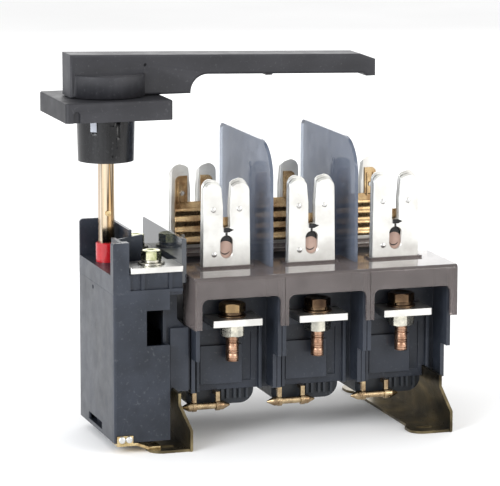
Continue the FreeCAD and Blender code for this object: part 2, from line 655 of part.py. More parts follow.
def contact_springs(cx):
    """Coil springs that spread the two shoes of each bridging contact, as plain sleeves."""
    x = cx + CONTACT_X + BAR_STROKE
    wall = BASE_HALF_DEPTH - BASE_WALL
    z0 = LUG_TOP_Z + CONTACT_CLEAR + 3.0
    z1 = CLIP_FOOT_Z - CONTACT_CLEAR - 3.0
    return [ring(2.4, 4.4, (x, end * (wall - CONTACT_LENGTH / 2), z0), Z_AXIS, z1 - z0) for end in ENDS]


def contact_carrier(cx):
    """Insulating cross arm that stands on the drive bar and grips both bridging contacts."""
    x = cx + CONTACT_X + BAR_STROKE
    wall = BASE_HALF_DEPTH - BASE_WALL
    z0 = LUG_TOP_Z + CONTACT_CLEAR
    z1 = CLIP_FOOT_Z - CONTACT_CLEAR
    reach = wall - CONTACT_LENGTH - 4
    arm = box(x - CONTACT_W / 2, x + CONTACT_W / 2, -reach, reach, z0, z1)
    saddle = box(x - 7, x + 7, BAR_Y0 + 0.5, BAR_Y1 - 0.5, BAR_Z1, z0 + 4)
    flange = box(x - 5, x + 5, -16, 16, z0 - 3, z0 + 3)
    return join([arm, saddle, flange])


def drive_bar():
    """Flat bar through all poles, with rack teeth at its left end."""
    bar = box(BAR_X0, BAR_X1, BAR_Y0, BAR_Y1, BAR_Z0, BAR_Z1)
    first_gap = rack_gap_x() - 2 * math.pi * MODULE
    return join([bar] + rack_teeth(first_gap, 7, BAR_Z0, BAR_Z1))


def idler_phase():
    """Direction of one idler tooth: half a pitch round from the gap that takes the pinion's tooth."""
    return math.pi + math.pi / IDLER_TEETH


def rack_gap_x():
    """Middle of the rack gap that takes the idler tooth nearest the rack."""
    step = 2 * math.pi / IDLER_TEETH
    nearest = round((math.pi / 2 - idler_phase()) / step)
    return IDLER_X + IDLER_R * (math.pi / 2 - idler_phase() - nearest * step)


# ---- mechanism box ------------------------------------------------------------------------------

def mechanism_housing():
    """Box moulding, open to the left, with a narrow bridge to the first pole."""
    w = BOX_WALL
    x0 = BOX_X0 + COVER_T
    body = box(x0, BOX_X1, BOX_Y0, BOX_Y1, BOX_Z0, BOX_Z1)
    cavity = box(x0 - 1, BOX_X1 - w, BOX_Y0 + w, BOX_Y1 - w, BOX_Z0 + w, BOX_Z1 - w)
    body = body.cut(cavity)
    pole_x = BASE_X0 - POLE_GAP
    step_x = pole_x - BRIDGE_STEP_X
    low, mid, high = BRIDGE_Z1
    bridge = prism([(BOX_X1 - 1, BRIDGE_Z0), (pole_x, BRIDGE_Z0), (pole_x, low), (step_x + mid - low, low),
                    (step_x, mid), (step_x, high), (BOX_X1 - 1, high)], "Y", *BRIDGE_Y)
    panel = box(BOX_X1 + 2.4, pole_x - 2.4, BRIDGE_Y[0] - 4, BRIDGE_Y[0] + 1, BRIDGE_Z0, low)
    inner = box(BOX_X1 - w - 1, pole_x - w, BRIDGE_Y[0] + w, BRIDGE_Y[1] - w, BRIDGE_Z0 + w, low - w)
    body = body.fuse([bridge, panel]).cut(inner)
    body = body.cut(box(pole_x - w - 1, BASE_X0, BAR_Y0 - 2.2, BAR_Y1 + 1, BAR_Z0 - 1, BAR_Z1 + 1))
    body = body.cut(tab_slot(-SLOT_SPAN_X / 2, -BRIDGE_Y[0] + 5))
    # footstep bearing of the spindle, seat of the idler pin and post of the detent spring
    foot = ring(SPINDLE_D + 2 * RUN_CLEAR, SPINDLE_D + 6, (AXIS_X, AXIS_Y, BOX_Z0 + w - 0.5), Z_AXIS, 9)
    idler_seat = cyl(5.0, (IDLER_X, AXIS_Y, BOX_Z0 + w - 0.5), Z_AXIS, IDLER_Z[0] - BOX_Z0 - w - 0.5)
    post = cyl(CAM_SQ / 2 - 1.0, (DETENT_POST_X, AXIS_Y, BOX_Z0 + w - 0.5), Z_AXIS, CAM_Z[1] - BOX_Z0)
    body = join([body, foot, idler_seat, post])
    cuts = [cyl(IDLER_PIN_D / 2, (IDLER_X, AXIS_Y, IDLER_Z[0] - 14), Z_AXIS, 20),
            cyl(COUPLER_D / 2 + 0.6, (AXIS_X, AXIS_Y, BOX_Z1 - w - 1), Z_AXIS, w + 2),
            box(WINDOW_X0, BOX_X1 + 3, BOX_Y0 - 1, BOX_Y0 + w + 0.5, *WINDOW_Z),
            box(BOX_X1 - w - 0.5, BOX_X1 + 1, BOX_Y0 - 1, BRIDGE_Y[0] - 1.5, *WINDOW_Z)]
    cuts += ear_screw_holes()
    for cutter in cuts:
        body = body.cut(cutter)
    return body.removeSplitter()


def mechanism_cover():
    """Flat left cover with a small hole near the top and a slot through it near the foot."""
    cover = box(BOX_X0, BOX_X0 + COVER_T, BOX_Y0 + 3.4, BOX_Y1, BOX_Z0, BOX_Z1)
    cover = cover.cut(cyl(1.6, (BOX_X0 - 1, -16, 108.5), X_AXIS, COVER_T + 2))
    return cover.cut(box(BOX_X0 - 1, BOX_X0 + COVER_T + 1, BOX_Y0 + 34.5, BOX_Y0 + 71.5,
                         BOX_Z0 + 3.0, BOX_Z0 + 8.4))


def corner_trim():
    """Upright front-left corner strip that the cover butts against."""
    strip = box(BOX_X0, BOX_X0 + COVER_T, BOX_Y0, BOX_Y0 + 3.2, BOX_Z0, BOX_Z1)
    return rounded(strip, 1.2, lambda e: along(e, Z_AXIS) and at(e, x=BOX_X0, y=BOX_Y0))


def top_cap():
    """Cap of the mechanism box: shaft bearing, hood walls and the neutral terminal block."""
    w = BOX_WALL
    base = box(BOX_X0, BOX_X1, BOX_Y0, BOX_Y1, BOX_Z1, CAP_Z1)
    nx0, nx1 = NEUTRAL_BLOCK_X
    nz0, nz1 = NEUTRAL_BLOCK_Z
    hollow = box(BOX_X0 + w, nx0 - w, BOX_Y0 + w, BOX_Y1 - w, BOX_Z1 - 1, CAP_Z1 - w)
    boss = cyl(COUPLER_D / 2 + 2.4, (AXIS_X, AXIS_Y, BOX_Z1), Z_AXIS, CAP_Z1 - BOX_Z1)
    boss = boss.common(box(BOX_X0 + 1, BOX_X1 - 1, BOX_Y0, BOX_Y1, BOX_Z1, CAP_Z1))
    wall_x = AXIS_X + COUPLER_D / 2 + 1.0
    block = box(nx0, nx1, BOX_Y0 + 2.5, -36.0, BOX_Z1, nz1)
    back_block = box(wall_x, nx1, -37.0, BOX_Y1 + 1, BOX_Z1, nz1)
    under = box(BOX_X1 + 0.1, nx1, BOX_Y0 + 2.5, BOX_Y1 + 1, nz0, BOX_Z1)
    left = box(nx0 - 3.5, nx0 - 0.8, BOX_Y0 + 4, -34, CAP_Z1 - 1, 147.5)
    cross_x1 = NEUTRAL_BOLT_X - 0.6
    cross = prism([(nx0 - 3.5, CAP_Z1 - 1), (cross_x1, CAP_Z1 - 1), (cross_x1, 149.5), (nx0 - 3.5, 146.0)],
                  "Y", -38.5, -36.0)
    right = box(wall_x, wall_x + 2.4, -37, BOX_Y1, CAP_Z1 - 1, HOOD_Z1)
    rear = box(BOX_X0, wall_x + 2.4, BOX_Y1 - 2.4, BOX_Y1, CAP_Z1 - 1, HOOD_Z1)
    rear = rounded(rear, 3.0, lambda e: along(e, Y_AXIS) and at(e, x=BOX_X0, z=HOOD_Z1))
    post = box(BOX_X0, nx0 - 0.8, BOX_Y0, BOX_Y0 + 7.5, CAP_Z1 - 1, POST_Z1)
    post = post.cut(box(BOX_X0 + 2.4, BOX_X0 + 7.2, BOX_Y0 + 2.4, BOX_Y0 + 9, CAP_Z1 - 2, POST_Z1 + 1))
    post = rounded(post, 2.0, lambda e: along(e, Y_AXIS) and at(e, x=BOX_X0, z=POST_Z1))
    ribs = [box(x - 1.3, x + 1.3, BOX_Y0 + 1.2, BOX_Y0 + 3, BOX_Z1, nz1 - 0.5)
            for x in (BOX_X0 + 22.5, BOX_X1 + 1.1)]
    lip = box(nx0, nx1, BOX_Y0 + 0.6, BOX_Y0 + 3.5, BOX_Z1, BOX_Z1 + 2.4)
    recess = box(nx0, BOX_X1 + 1, BOX_Y0 - 1, BOX_Y0 + 2.5, BOX_Z1 + 2.4, CAP_Z1 + 1)
    body = base.cut(hollow).cut(recess)
    body = join([body, boss, block, back_block, under, left, cross, right, rear, post, lip] + ribs)
    cuts = [cyl(COUPLER_D / 2 + RUN_CLEAR, (AXIS_X, AXIS_Y, BOX_Z1 - 1), Z_AXIS, nz1 - BOX_Z1 + 2)]
    for x, y in neutral_bolts():
        nut_h = NEUTRAL_BOLT.nut_h
        cuts.append(hexagon(NEUTRAL_BOLT.af + 0.4, (x, y), nz1 - nut_h - 0.2, nut_h + 1))
        cuts.append(cyl((NEUTRAL_BOLT_D + BOLT_CLEAR) / 2, (x, y, nz0 + 2.0), Z_AXIS, nz1 - nz0))
    for cutter in cuts:
        body = body.cut(cutter)
    return body.removeSplitter()


def neutral_bolts():
    """Places of the two neutral terminal bolts."""
    return [(NEUTRAL_BOLT_X, -BOLT_Y), (NEUTRAL_REAR_X, NEUTRAL_REAR_Y)]


def neutral_link():
    """Solid neutral link: one strip with a terminal at each end."""
    z0, z1 = NEUTRAL_BLOCK_Z[1], NEUTRAL_TOP_Z
    front = box(NEUTRAL_BLOCK_X[0] + 0.1, NEUTRAL_BLOCK_X[1], -LUG_END_Y, -45.0, z0, z1)
    front = rounded(front, 1.0, lambda e: along(e, Z_AXIS) and at(e, y=-LUG_END_Y))
    middle = box(NEUTRAL_BLOCK_X[1] - 19.0, NEUTRAL_BLOCK_X[1] - 4.0, -46, 0, z0, z1)
    rear = box(NEUTRAL_BLOCK_X[1] - 26.0, NEUTRAL_BLOCK_X[1], -4.0, BOX_Y1 + 1.0, z0, z1)
    body = join([front, middle, rear])
    for x, y in neutral_bolts():
        body = body.cut(cyl((NEUTRAL_BOLT_D + BOLT_CLEAR) / 2, (x, y, z0 - 1), Z_AXIS, z1 - z0 + 2))
    return body


# ---- terminal hardware --------------------------------------------------------------------------

def bolt_places():
    """(hardware, x, y, top of the clamped face, underside of the clamped face) of every terminal bolt."""
    places = [(POLE_BOLT, cx, end * BOLT_Y, LUG_TOP_Z, LUG_UNDER_Z) for cx in POLE_X for end in ENDS]
    return places + [(NEUTRAL_BOLT, x, y, NEUTRAL_TOP_Z, NEUTRAL_BLOCK_Z[1]) for x, y in neutral_bolts()]


def hex_bolt(kit, x, y, top):
    """Hexagon head bolt, its head chamfered by a cone, on both washers."""
    seat = top + kit.flat[1] + kit.spring[1]
    head = hexagon(kit.af, (x, y), seat, kit.head_h)
    cone = Part.makeCone(kit.af * 0.62, kit.af * 0.48, kit.head_h, V(x, y, seat), Z_AXIS)
    shank = cyl(kit.d / 2, (x, y, seat - kit.length), Z_AXIS, kit.length)
    shank = shank.makeChamfer(1.0, [e for e in shank.Edges if at(e, z=seat - kit.length)])
    return join([head.common(cone), shank])


def spring_washer(kit, x, y, top):
    """Split spring washer on the plain one."""
    d_out, t = kit.spring
    body = ring(kit.d + 0.2, d_out, (x, y, top + kit.flat[1]), Z_AXIS, t)
    return body.cut(box(x + 3, x + d_out, y - 0.5, y + 0.5, top, top + 6))


def flat_washer(kit, x, y, top):
    """Plain washer that lies on a lug."""
    return ring(kit.d + 0.5, kit.flat[0], (x, y, top), Z_AXIS, kit.flat[1])


def hex_nut(kit, x, y, under):
    """Hexagon nut under a lug."""
    nut = hexagon(kit.af, (x, y), under - kit.nut_h, kit.nut_h)
    cone = Part.makeCone(kit.af * 0.48, kit.af * 0.62, kit.nut_h, V(x, y, under - kit.nut_h), Z_AXIS)
    return nut.common(cone).cut(cyl(kit.d / 2 + 0.02, (x, y, under - kit.nut_h - 1), Z_AXIS, kit.nut_h + 2))


# ---- pins under the poles -----------------------------------------------------------------------

def tie_pin(cx):
    """Round pin with coned ends, along X in front of the arc chamber."""
    x = cx + PIN_X
    cone_l = 5.5
    half = PIN_LENGTH / 2 - cone_l
    eye_face = (EYE_SPACING + EYE_T) / 2
    shapes = [cyl(PIN_D / 2, (x - half, PIN_Y, PIN_Z), X_AXIS, 2 * half)]
    for side in ENDS:
        collar = cyl(PIN_D / 2 + 0.9, (x + side * eye_face, PIN_Y, PIN_Z), X_AXIS * side, half - eye_face)
        cone = Part.makeCone(PIN_D / 2 + 0.9, 0.7, cone_l, V(x + side * half, PIN_Y, PIN_Z), X_AXIS * side)
        shapes += [collar, cone]
    return join(shapes)


def eye_bars(cx):
    """Two flat eye bars per pole that hold the pin and hook under the pole base."""
    bars = []
    for side in ENDS:
        x = cx + PIN_X + side * EYE_SPACING / 2
        eye = cyl(EYE_D / 2, (x - EYE_T / 2, PIN_Y, PIN_Z), X_AXIS, EYE_T)
        stem = box(x - EYE_T / 2, x + EYE_T / 2, PIN_Y - 1.6, PIN_Y + 1.6, PIN_Z, BASE_Z0)
        hook = box(x - EYE_T / 2, x + EYE_T / 2, PIN_Y - 1.6, -CHAMBER_HALF_DEPTH, BASE_Z0 - 3.0, BASE_Z0)
        bar = join([eye, stem, hook])
        bars.append(bar.cut(cyl(PIN_D / 2, (x - EYE_T, PIN_Y, PIN_Z), X_AXIS, 2 * EYE_T)))
    return bars


# ---- shaft line ---------------------------------------------------------------------------------

def spindle():
    """Round spindle in the footstep bearing, with the square detent cam and the pinion's key flat."""
    foot_z = BOX_Z0 + BOX_WALL + 0.2
    rod = cyl(SPINDLE_D / 2, (AXIS_X, AXIS_Y, foot_z), Z_AXIS, SOCKET_Z - foot_z)
    half = CAM_SQ / 2
    cam = box(AXIS_X - half, AXIS_X + half, AXIS_Y - half, AXIS_Y + half, *CAM_Z)
    cam = rounded(cam, 3.0, lambda e: along(e, Z_AXIS))
    return join([rod, cam])


def drive_pinion():
    """Pinion on the spindle; one tooth points to the idler."""
    return involute_gear(PINION_TEETH, (AXIS_X, AXIS_Y), *PINION_Z, SPINDLE_D / 2, 0.0)


def idler_gear():
    """Idler that carries the pinion's turn to the rack; it is in mesh with both at rest."""
    return involute_gear(IDLER_TEETH, (IDLER_X, AXIS_Y), *IDLER_Z, IDLER_PIN_D / 2 + RUN_CLEAR, idler_phase())


def idler_pin():
    """Fixed pin of the idler, with a head above it."""
    pin = cyl(IDLER_PIN_D / 2, (IDLER_X, AXIS_Y, IDLER_Z[0] - 14), Z_AXIS, IDLER_Z[1] - IDLER_Z[0] + 14.5)
    head = cyl(IDLER_PIN_D / 2 + 2, (IDLER_X, AXIS_Y, IDLER_Z[1] + 0.4), Z_AXIS, 1.5)
    return join([pin, head])


def detent_spring():
    """Hairpin spring that grips two flats of the cam and loops round the fixed post."""
    gap = 0.02
    inner = CAM_SQ / 2 + gap
    z0, z1 = CAM_Z[0] + 2, CAM_Z[1] - 2
    arms = [box(AXIS_X - 8.0, DETENT_POST_X, AXIS_Y + side * inner, AXIS_Y + side * (inner + DETENT_T), z0, z1)
            for side in ENDS]
    bend = ring(2 * inner, 2 * (inner + DETENT_T), (DETENT_POST_X, AXIS_Y, z0), Z_AXIS, z1 - z0)
    bend = bend.cut(box(DETENT_POST_X - 20, DETENT_POST_X, AXIS_Y - 20, AXIS_Y + 20, z0 - 1, z1 + 1))
    return join([bend] + arms)


def shaft_coupler():
    """Red coupler: runs in the cap, takes the square shaft above and the spindle below."""
    z0, z1 = COUPLER_Z
    body = cyl(COUPLER_D / 2, (AXIS_X, AXIS_Y, z0), Z_AXIS, z1 - z0)
    body = body.makeChamfer(0.6, [e for e in body.Edges if at(e, z=z1)])
    half = SHAFT_SQ / 2
    body = body.cut(box(AXIS_X - half, AXIS_X + half, AXIS_Y - half, AXIS_Y + half, SOCKET_Z, z1 + 1))
    return body.cut(cyl(SPINDLE_D / 2, (AXIS_X, AXIS_Y, z0 - 1), Z_AXIS, SOCKET_Z - z0 + 1))


def extension_shaft():
    """Square extension shaft, cross-drilled for its pin."""
    half = SHAFT_SQ / 2
    shaft = box(AXIS_X - half, AXIS_X + half, AXIS_Y - half, AXIS_Y + half, SOCKET_Z, SHAFT_TOP_Z)
    shaft = rounded(shaft, 0.6, lambda e: along(e, Z_AXIS))
    return shaft.cut(cyl(SHAFT_PIN_D / 2, (AXIS_X, AXIS_Y - 10, SHAFT_PIN_Z), Y_AXIS, 20))


def shaft_pin():
    """Cross pin pressed through the shaft."""
    return cyl(SHAFT_PIN_D / 2, (AXIS_X, AXIS_Y - half_shaft() - 1.4, SHAFT_PIN_Z), Y_AXIS, SHAFT_SQ + 2.8)


def half_shaft():
    """Half the square shaft's width."""
    return SHAFT_SQ / 2


# ---- handle, escutcheon and boss ----------------------------------------------------------------

def escutcheon():
    """Square door plate, hollow behind, with a round opening for the handle's spigot."""
    half = ESC_SIZE / 2
    z0, z1 = ESC_Z
    plate = box(AXIS_X - half, AXIS_X + half, AXIS_Y - half, AXIS_Y + half, z0, z1)
    plate = rounded(plate, 3.0, lambda e: along(e, Z_AXIS))
    plate = rounded(plate, 1.2, lambda e: at(e, z=z1))
    w = ESC_WALL
    hollow = box(AXIS_X - half + w, AXIS_X + half - w, AXIS_Y - half + w, AXIS_Y + half - w, z0 - 1, z1 - w)
    hollow = rounded(hollow, 1.5, lambda e: along(e, Z_AXIS))
    plate = plate.cut(hollow)
    collar = ring(2 * spigot_r() + 2 * RUN_CLEAR, 2 * BOSS_R_TOP, (AXIS_X, AXIS_Y, z0), Z_AXIS, z1 - z0 - 0.5)
    posts = [ring(4.0, 9.0, (AXIS_X + sx * 30, AXIS_Y + sy * 30, z0), Z_AXIS, z1 - z0 - 1) for sx in ENDS
             for sy in ENDS]
    body = join([plate, collar] + posts)
    body = body.cut(cyl(spigot_r() + RUN_CLEAR, (AXIS_X, AXIS_Y, z0 - 1), Z_AXIS, z1 - z0 + 2))
    x_n = AXIS_X - half + 8.0
    notch = box(x_n - 2.5, x_n + 2.5, AXIS_Y - half - 1, AXIS_Y - half + 1.6, z0 - 1, z0 + 6)
    notch = notch.fuse(cyl(2.5, (x_n, AXIS_Y - half - 1, z0 + 6), Y_AXIS, 2.6))
    return body.cut(notch).removeSplitter()


def spigot_r():
    """Radius of the handle's round spigot in the escutcheon."""
    return 16.0


def escutcheon_boss():
    """Round boss behind the door: a cup with a shaft hole, a slit and a small window."""
    z1 = ESC_Z[0]
    height = z1 - BOSS_Z0
    outer = Part.makeCone(BOSS_R_LOW, BOSS_R_TOP, height, V(AXIS_X, AXIS_Y, BOSS_Z0), Z_AXIS)
    inner = cyl(BOSS_R_LOW - BOSS_WALL, (AXIS_X, AXIS_Y, BOSS_Z0 + BOSS_WALL), Z_AXIS, height)
    hole = cyl(half_shaft() * math.sqrt(2) + 0.6, (AXIS_X, AXIS_Y, BOSS_Z0 - 1), Z_AXIS, 10)
    slit = box(AXIS_X + 2.4, AXIS_X + 5.4, AXIS_Y - 30, AXIS_Y - BOSS_R_LOW + 1.0, z1 - 13.5, z1 + 1)
    rib = box(AXIS_X - 3.2, AXIS_X + 2.2, AXIS_Y - BOSS_R_TOP - 0.1, AXIS_Y - BOSS_R_LOW + 1.0,
              BOSS_Z0 + 6, z1 - 6)
    return join([outer.cut(inner).cut(hole), rib]).cut(slit).cut(boss_insert())


def boss_insert():
    """Light indicator tab let into the wall of the boss, to the left of its front."""
    z1 = ESC_Z[0]
    tab = box(AXIS_X - 2.4, AXIS_X + 2.4, AXIS_Y - BOSS_R_TOP - 0.1, AXIS_Y - BOSS_R_LOW + 1.0, z1 - 10.0, z1)
    tab.rotate(V(AXIS_X, AXIS_Y, 0), Z_AXIS, INSERT_TURN)
    return tab


def top_z(x):
    """Height of the lever's top edge at x."""
    return HANDLE_TOP_Z - HANDLE_FALL * (x - AXIS_X + HUB_R)


def handle_lever():
    """Lever: deep body over the hub, a throat arc and a slim grip with a lip at its tip."""
    x_left = AXIS_X - HUB_R
    x_throat = AXIS_X + GRIP_START
    x_tip = AXIS_X + HANDLE_REACH
    z0 = HANDLE_Z0

    def under_z(x):
        return top_z(x) - GRIP_T

    arc_c = V(x_throat, AXIS_Y, under_z(x_throat) - THROAT_R)
    p = [V(x_left, AXIS_Y, z0), V(x_left, AXIS_Y, top_z(x_left)), V(x_tip - 12, AXIS_Y, top_z(x_tip - 12)),
         V(x_tip, AXIS_Y, top_z(x_tip) - 4.0), V(x_tip, AXIS_Y, under_z(x_tip) - 2.0),
         V(x_tip - 7, AXIS_Y, under_z(x_tip) - 2.0), V(x_tip - 10, AXIS_Y, under_z(x_tip - 10)),
         V(x_throat, AXIS_Y, under_z(x_throat)), V(x_throat - THROAT_R, AXIS_Y, arc_c.z),
         V(x_throat - THROAT_R, AXIS_Y, z0)]
    r45 = THROAT_R * math.sqrt(0.5)
    arc = Part.Arc(p[7], V(arc_c.x - r45, AXIS_Y, arc_c.z + r45), p[8]).toShape()
    edges = [Part.makeLine(a, b) for a, b in zip(p[:7], p[1:8])] + [arc]
    edges += [Part.makeLine(p[8], p[9]), Part.makeLine(p[9], p[0])]
    face = Part.Face(Part.Wire(edges))
    lever = face.extrude(V(0, HANDLE_W, 0))
    lever.translate(V(0, -HANDLE_W / 2, 0))
    lever = rounded(lever, 2.0, lambda e: at(e, y=AXIS_Y - HANDLE_W / 2) or at(e, y=AXIS_Y + HANDLE_W / 2))
    hub = cyl(HUB_R, (AXIS_X, AXIS_Y, z0), Z_AXIS, HUB_TOP_Z - z0)
    hub = rounded(hub, 1.5, lambda e: at(e, z=HUB_TOP_Z))
    spigot = cyl(spigot_r(), (AXIS_X, AXIS_Y, ESC_Z[0] + 1), Z_AXIS, z0 - ESC_Z[0])
    body = join([lever, hub, spigot])
    half = half_shaft()
    body = body.cut(box(AXIS_X - half, AXIS_X + half, AXIS_Y - half, AXIS_Y + half, ESC_Z[0], SHAFT_TOP_Z))
    channel = box(lock_x() - 6, lock_x() + LOCK_TRAVEL + 14, AXIS_Y - 5, AXIS_Y + 5,
                  under_z(lock_x()) - 3, under_z(lock_x()) + 6)
    body = body.cut(channel)
    return body.cut(cyl(1.2, (AXIS_X + 26.5, AXIS_Y - HANDLE_W, 271.5), Y_AXIS, HANDLE_W / 2 + 2))


def lock_x():
    """Left end of the padlock slide in its channel, at rest."""
    return AXIS_X + 120.0


def lock_slide():
    """Padlock slide in the underside of the grip, with a finger nub."""
    x = lock_x()
    z = top_z(x) - GRIP_T
    body = box(x - 5.6, x + 12, AXIS_Y - 4.7, AXIS_Y + 4.7, z + 0.8, z + 5.6)
    nub = prism([(x, z + 0.8), (x + 2.0, z - 2.0), (x + 6.5, z - 2.0), (x + 8.5, z + 0.8)],
                "Y", AXIS_Y - 4.2, AXIS_Y + 4.2)
    body = join([body, nub])
    return body.cut(cyl(2.4, (x - 1.5, AXIS_Y, z - 1), Z_AXIS, 8))


# ---- barriers and shrouds -----------------------------------------------------------------------

def phase_barrier(index):
    """Translucent wall between two poles, with a small moulded oval and dot."""
    x = (POLE_X[index] + POLE_X[index + 1]) / 2
    plate = plate_yz(x - BARRIER_T / 2, x + BARRIER_T / 2, *BARRIER_Y, *BARRIER_Z, BARRIER_R_FRONT,
                     BARRIER_R_BACK)
    oval = ring(3.0, 5.0, (x - BARRIER_T / 2 - 0.3, -2.0, BARRIER_Z[1] - 22.0), X_AXIS, 0.4)
    dot = cyl(1.2, (x - BARRIER_T / 2 - 0.3, -2.0, BARRIER_Z[1] - 30.0), X_AXIS, 0.4)
    return join([plate, oval, dot])


def neutral_barrier():
    """Short dark barrier between the neutral terminal and the first pole."""
    x = NEUTRAL_BLOCK_X[1]
    plate = plate_yz(x, x + BARRIER_T, *NEUTRAL_BARRIER_Y, *NEUTRAL_BARRIER_Z, 3.0, 3.0)
    rim = plate_yz(x, x + BARRIER_T + 1.0, NEUTRAL_BARRIER_Y[0] - 1.0, NEUTRAL_BARRIER_Y[0] + 1.6,
                   *NEUTRAL_BARRIER_Z, 1.0, 1.0)
    return join([plate, rim])


def terminal_shroud(barrier_y):
    """Front shroud: a glossy clear moulding with a flat top and an arch over each terminal.

    The phase barriers reach forward to barrier_y, so its slots for them start there.
    """
    x0 = POLE_ROW_X - SHROUD_END_X
    x1 = POLE_ROW_X + SHROUD_END_X
    y0 = -SHROUD_FACE_Y
    y1 = -CLIP_INNER_Y + 18.0
    t = SHROUD_T
    top = box(x0, x1, y0, y1, SHROUD_TOP_Z - t - 2.2, SHROUD_TOP_Z)
    face = box(x0, x1, y0, y0 + t, SHROUD_LEG_Z, SHROUD_TOP_Z)
    sides = [box(x, x + side * SHROUD_SIDE_T, y0, -BASE_HALF_DEPTH - 4, SHROUD_LEG_Z, SHROUD_TOP_Z)
             for x, side in ((x0, 1), (x1, -1))]
    body = join([top, face] + sides)
    body = rounded(body, 3.0, lambda e: along(e, X_AXIS) and at(e, y=y0, z=SHROUD_TOP_Z))
    under = box(x0 + SHROUD_SIDE_T, x1 - SHROUD_SIDE_T, y0 + t, y1 + 1, BASE_Z1 - 20, SHROUD_TOP_Z - t)
    body = body.cut(under)
    half_bay = POLE_PITCH / 2 - SHROUD_LEG_W / 2
    for cx in POLE_X:
        arch = box(cx - half_bay, cx + half_bay, y0 - 1, y0 + t + 1, SHROUD_LEG_Z - 10, SHROUD_ARCH_Z)
        arch = rounded(arch, 5.0, lambda e: along(e, Y_AXIS) and at(e, z=SHROUD_ARCH_Z))
        mouth = box(cx - CLIP_W / 2 - 0.8, cx + CLIP_W / 2 + 0.8, -CLIP_FACE_Y - 0.9, -CLIP_INNER_Y + 3.6,
                    SHROUD_TOP_Z - 8, SHROUD_TOP_Z + 6)
        frame = box(cx - CLIP_W / 2 - 2.0, cx + CLIP_W / 2 + 2.0, -CLIP_FACE_Y - 2.1, -CLIP_INNER_Y + 4.8,
                    SHROUD_TOP_Z - t, SHROUD_TOP_Z + 1.6)
        body = body.cut(arch).fuse(frame).cut(mouth)
    for index in range(POLE_COUNT - 1):
        x = (POLE_X[index] + POLE_X[index + 1]) / 2
        body = body.cut(box(x - BARRIER_T / 2 - 0.4, x + BARRIER_T / 2 + 0.4, barrier_y - 0.2, y1 + 2,
                            SHROUD_TOP_Z - 8, SHROUD_TOP_Z + 6))
        body = body.cut(box(x - 0.25, x + 0.25, y0 - 1, y0 + 0.6, SHROUD_LEG_Z - 1, SHROUD_TOP_Z + 1))
    return body.removeSplitter()


# ---- assembly -----------------------------------------------------------------------------------

def nodes():
    """Every node of the switch, by name."""
    out = {}
    left_slot = -SLOT_SPAN_X / 2
    right_slot = SLOT_SPAN_X / 2
    out["bracket_left"] = bracket(left_slot)
    out["bracket_right"] = bracket(right_slot)
    out["base_strip"] = base_strip()
    out["ear_screws"] = group(ear_screws())
    out["mechanism_housing"] = mechanism_housing()
    out["mechanism_cover"] = mechanism_cover()
    out["corner_trim"] = corner_trim()
    out["top_cap"] = top_cap()
    out["neutral_link"] = neutral_link()
    for i, cx in enumerate(POLE_X, start=1):
        out[f"pole_base_{i}"] = pole_base(cx, i == POLE_COUNT)
        out[f"arc_chamber_{i}"] = arc_chamber(cx)
        lug = terminal_lug(cx)
        clip = fuse_clip(cx)
        out[f"front_lug_{i}"] = lug
        out[f"rear_lug_{i}"] = mirrored_y(lug)
        out[f"front_fuse_clip_{i}"] = clip
        out[f"rear_fuse_clip_{i}"] = mirrored_y(clip)
        out[f"moving_contacts_{i}"] = group(moving_contacts(cx))
    out["contact_carriers"] = group([contact_carrier(cx) for cx in POLE_X])
    out["contact_springs"] = group([s for cx in POLE_X for s in contact_springs(cx)])
    out["clip_springs"] = group([facing(lyre_spring(cx), end) for cx in POLE_X for end in ENDS])
    out["clip_rivets"] = group([facing(clip_rivet(x, z), end) for cx in POLE_X for end in ENDS
                                for x, z in rivet_places(cx)])
    out["slot_stops"] = group([facing(slot_stop(cx), end) for cx in POLE_X for end in ENDS])
    bolts = []
    springs = []
    washers = []
    nuts = []
    for kit, x, y, top, under in bolt_places():
        bolts.append(hex_bolt(kit, x, y, top))
        springs.append(spring_washer(kit, x, y, top))
        washers.append(flat_washer(kit, x, y, top))
        nuts.append(hex_nut(kit, x, y, under))
    out["terminal_bolts"] = group(bolts)
    out["spring_washers"] = group(springs)
    out["flat_washers"] = group(washers)
    out["hex_nuts"] = group(nuts)
    out["tie_pins"] = group([tie_pin(cx) for cx in POLE_X])
    out["eye_bars"] = group([b for cx in POLE_X for b in eye_bars(cx)])
    out["drive_bar"] = drive_bar()
    out["idler_gear"] = idler_gear()
    out["idler_pin"] = idler_pin()
    out["spindle"] = spindle()
    out["drive_pinion"] = drive_pinion()
    out["detent_spring"] = detent_spring()
    out["shaft_coupler"] = shaft_coupler()
    out["extension_shaft"] = extension_shaft()
    out["shaft_pin"] = shaft_pin()
    out["escutcheon"] = escutcheon()
    out["escutcheon_boss"] = escutcheon_boss()
    out["boss_insert"] = boss_insert()
    out["handle_lever"] = handle_lever()
    out["lock_slide"] = lock_slide()
    for index in range(POLE_COUNT - 1):
        out[f"phase_barrier_{index + 1}"] = phase_barrier(index)
    out["neutral_barrier"] = neutral_barrier()
    out["front_shroud"] = terminal_shroud(BARRIER_Y[0])
    out["rear_shroud"] = mirrored_y(terminal_shroud(-BARRIER_Y[1]))
    for shape in out.values():
        shape.translate(V(0, 0, FOOT_DROP))
    return out


def main():
    """Write one STEP file per node."""
    os.makedirs("parts", exist_ok=True)
    for name, shape in nodes().items():
        shape.exportStep(f"parts/{name}.step")


if __name__ == "__main__":
    main()
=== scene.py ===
"""Looks of a three-pole fuse switch with a solid neutral and a door handle on a long square shaft.

Lengths in this file are millimetres of the row frame unless a name ends in _m; Form.finish turns a mesh
into metres. Each sub-assembly is a class that builds its own pieces and dresses them.
"""
import json
import logging
import math
from dataclasses import dataclass
from enum import Enum
from functools import cache
from typing import Any, Iterable, Sequence

import bmesh
import bpy
from mathutils import Matrix, Vector

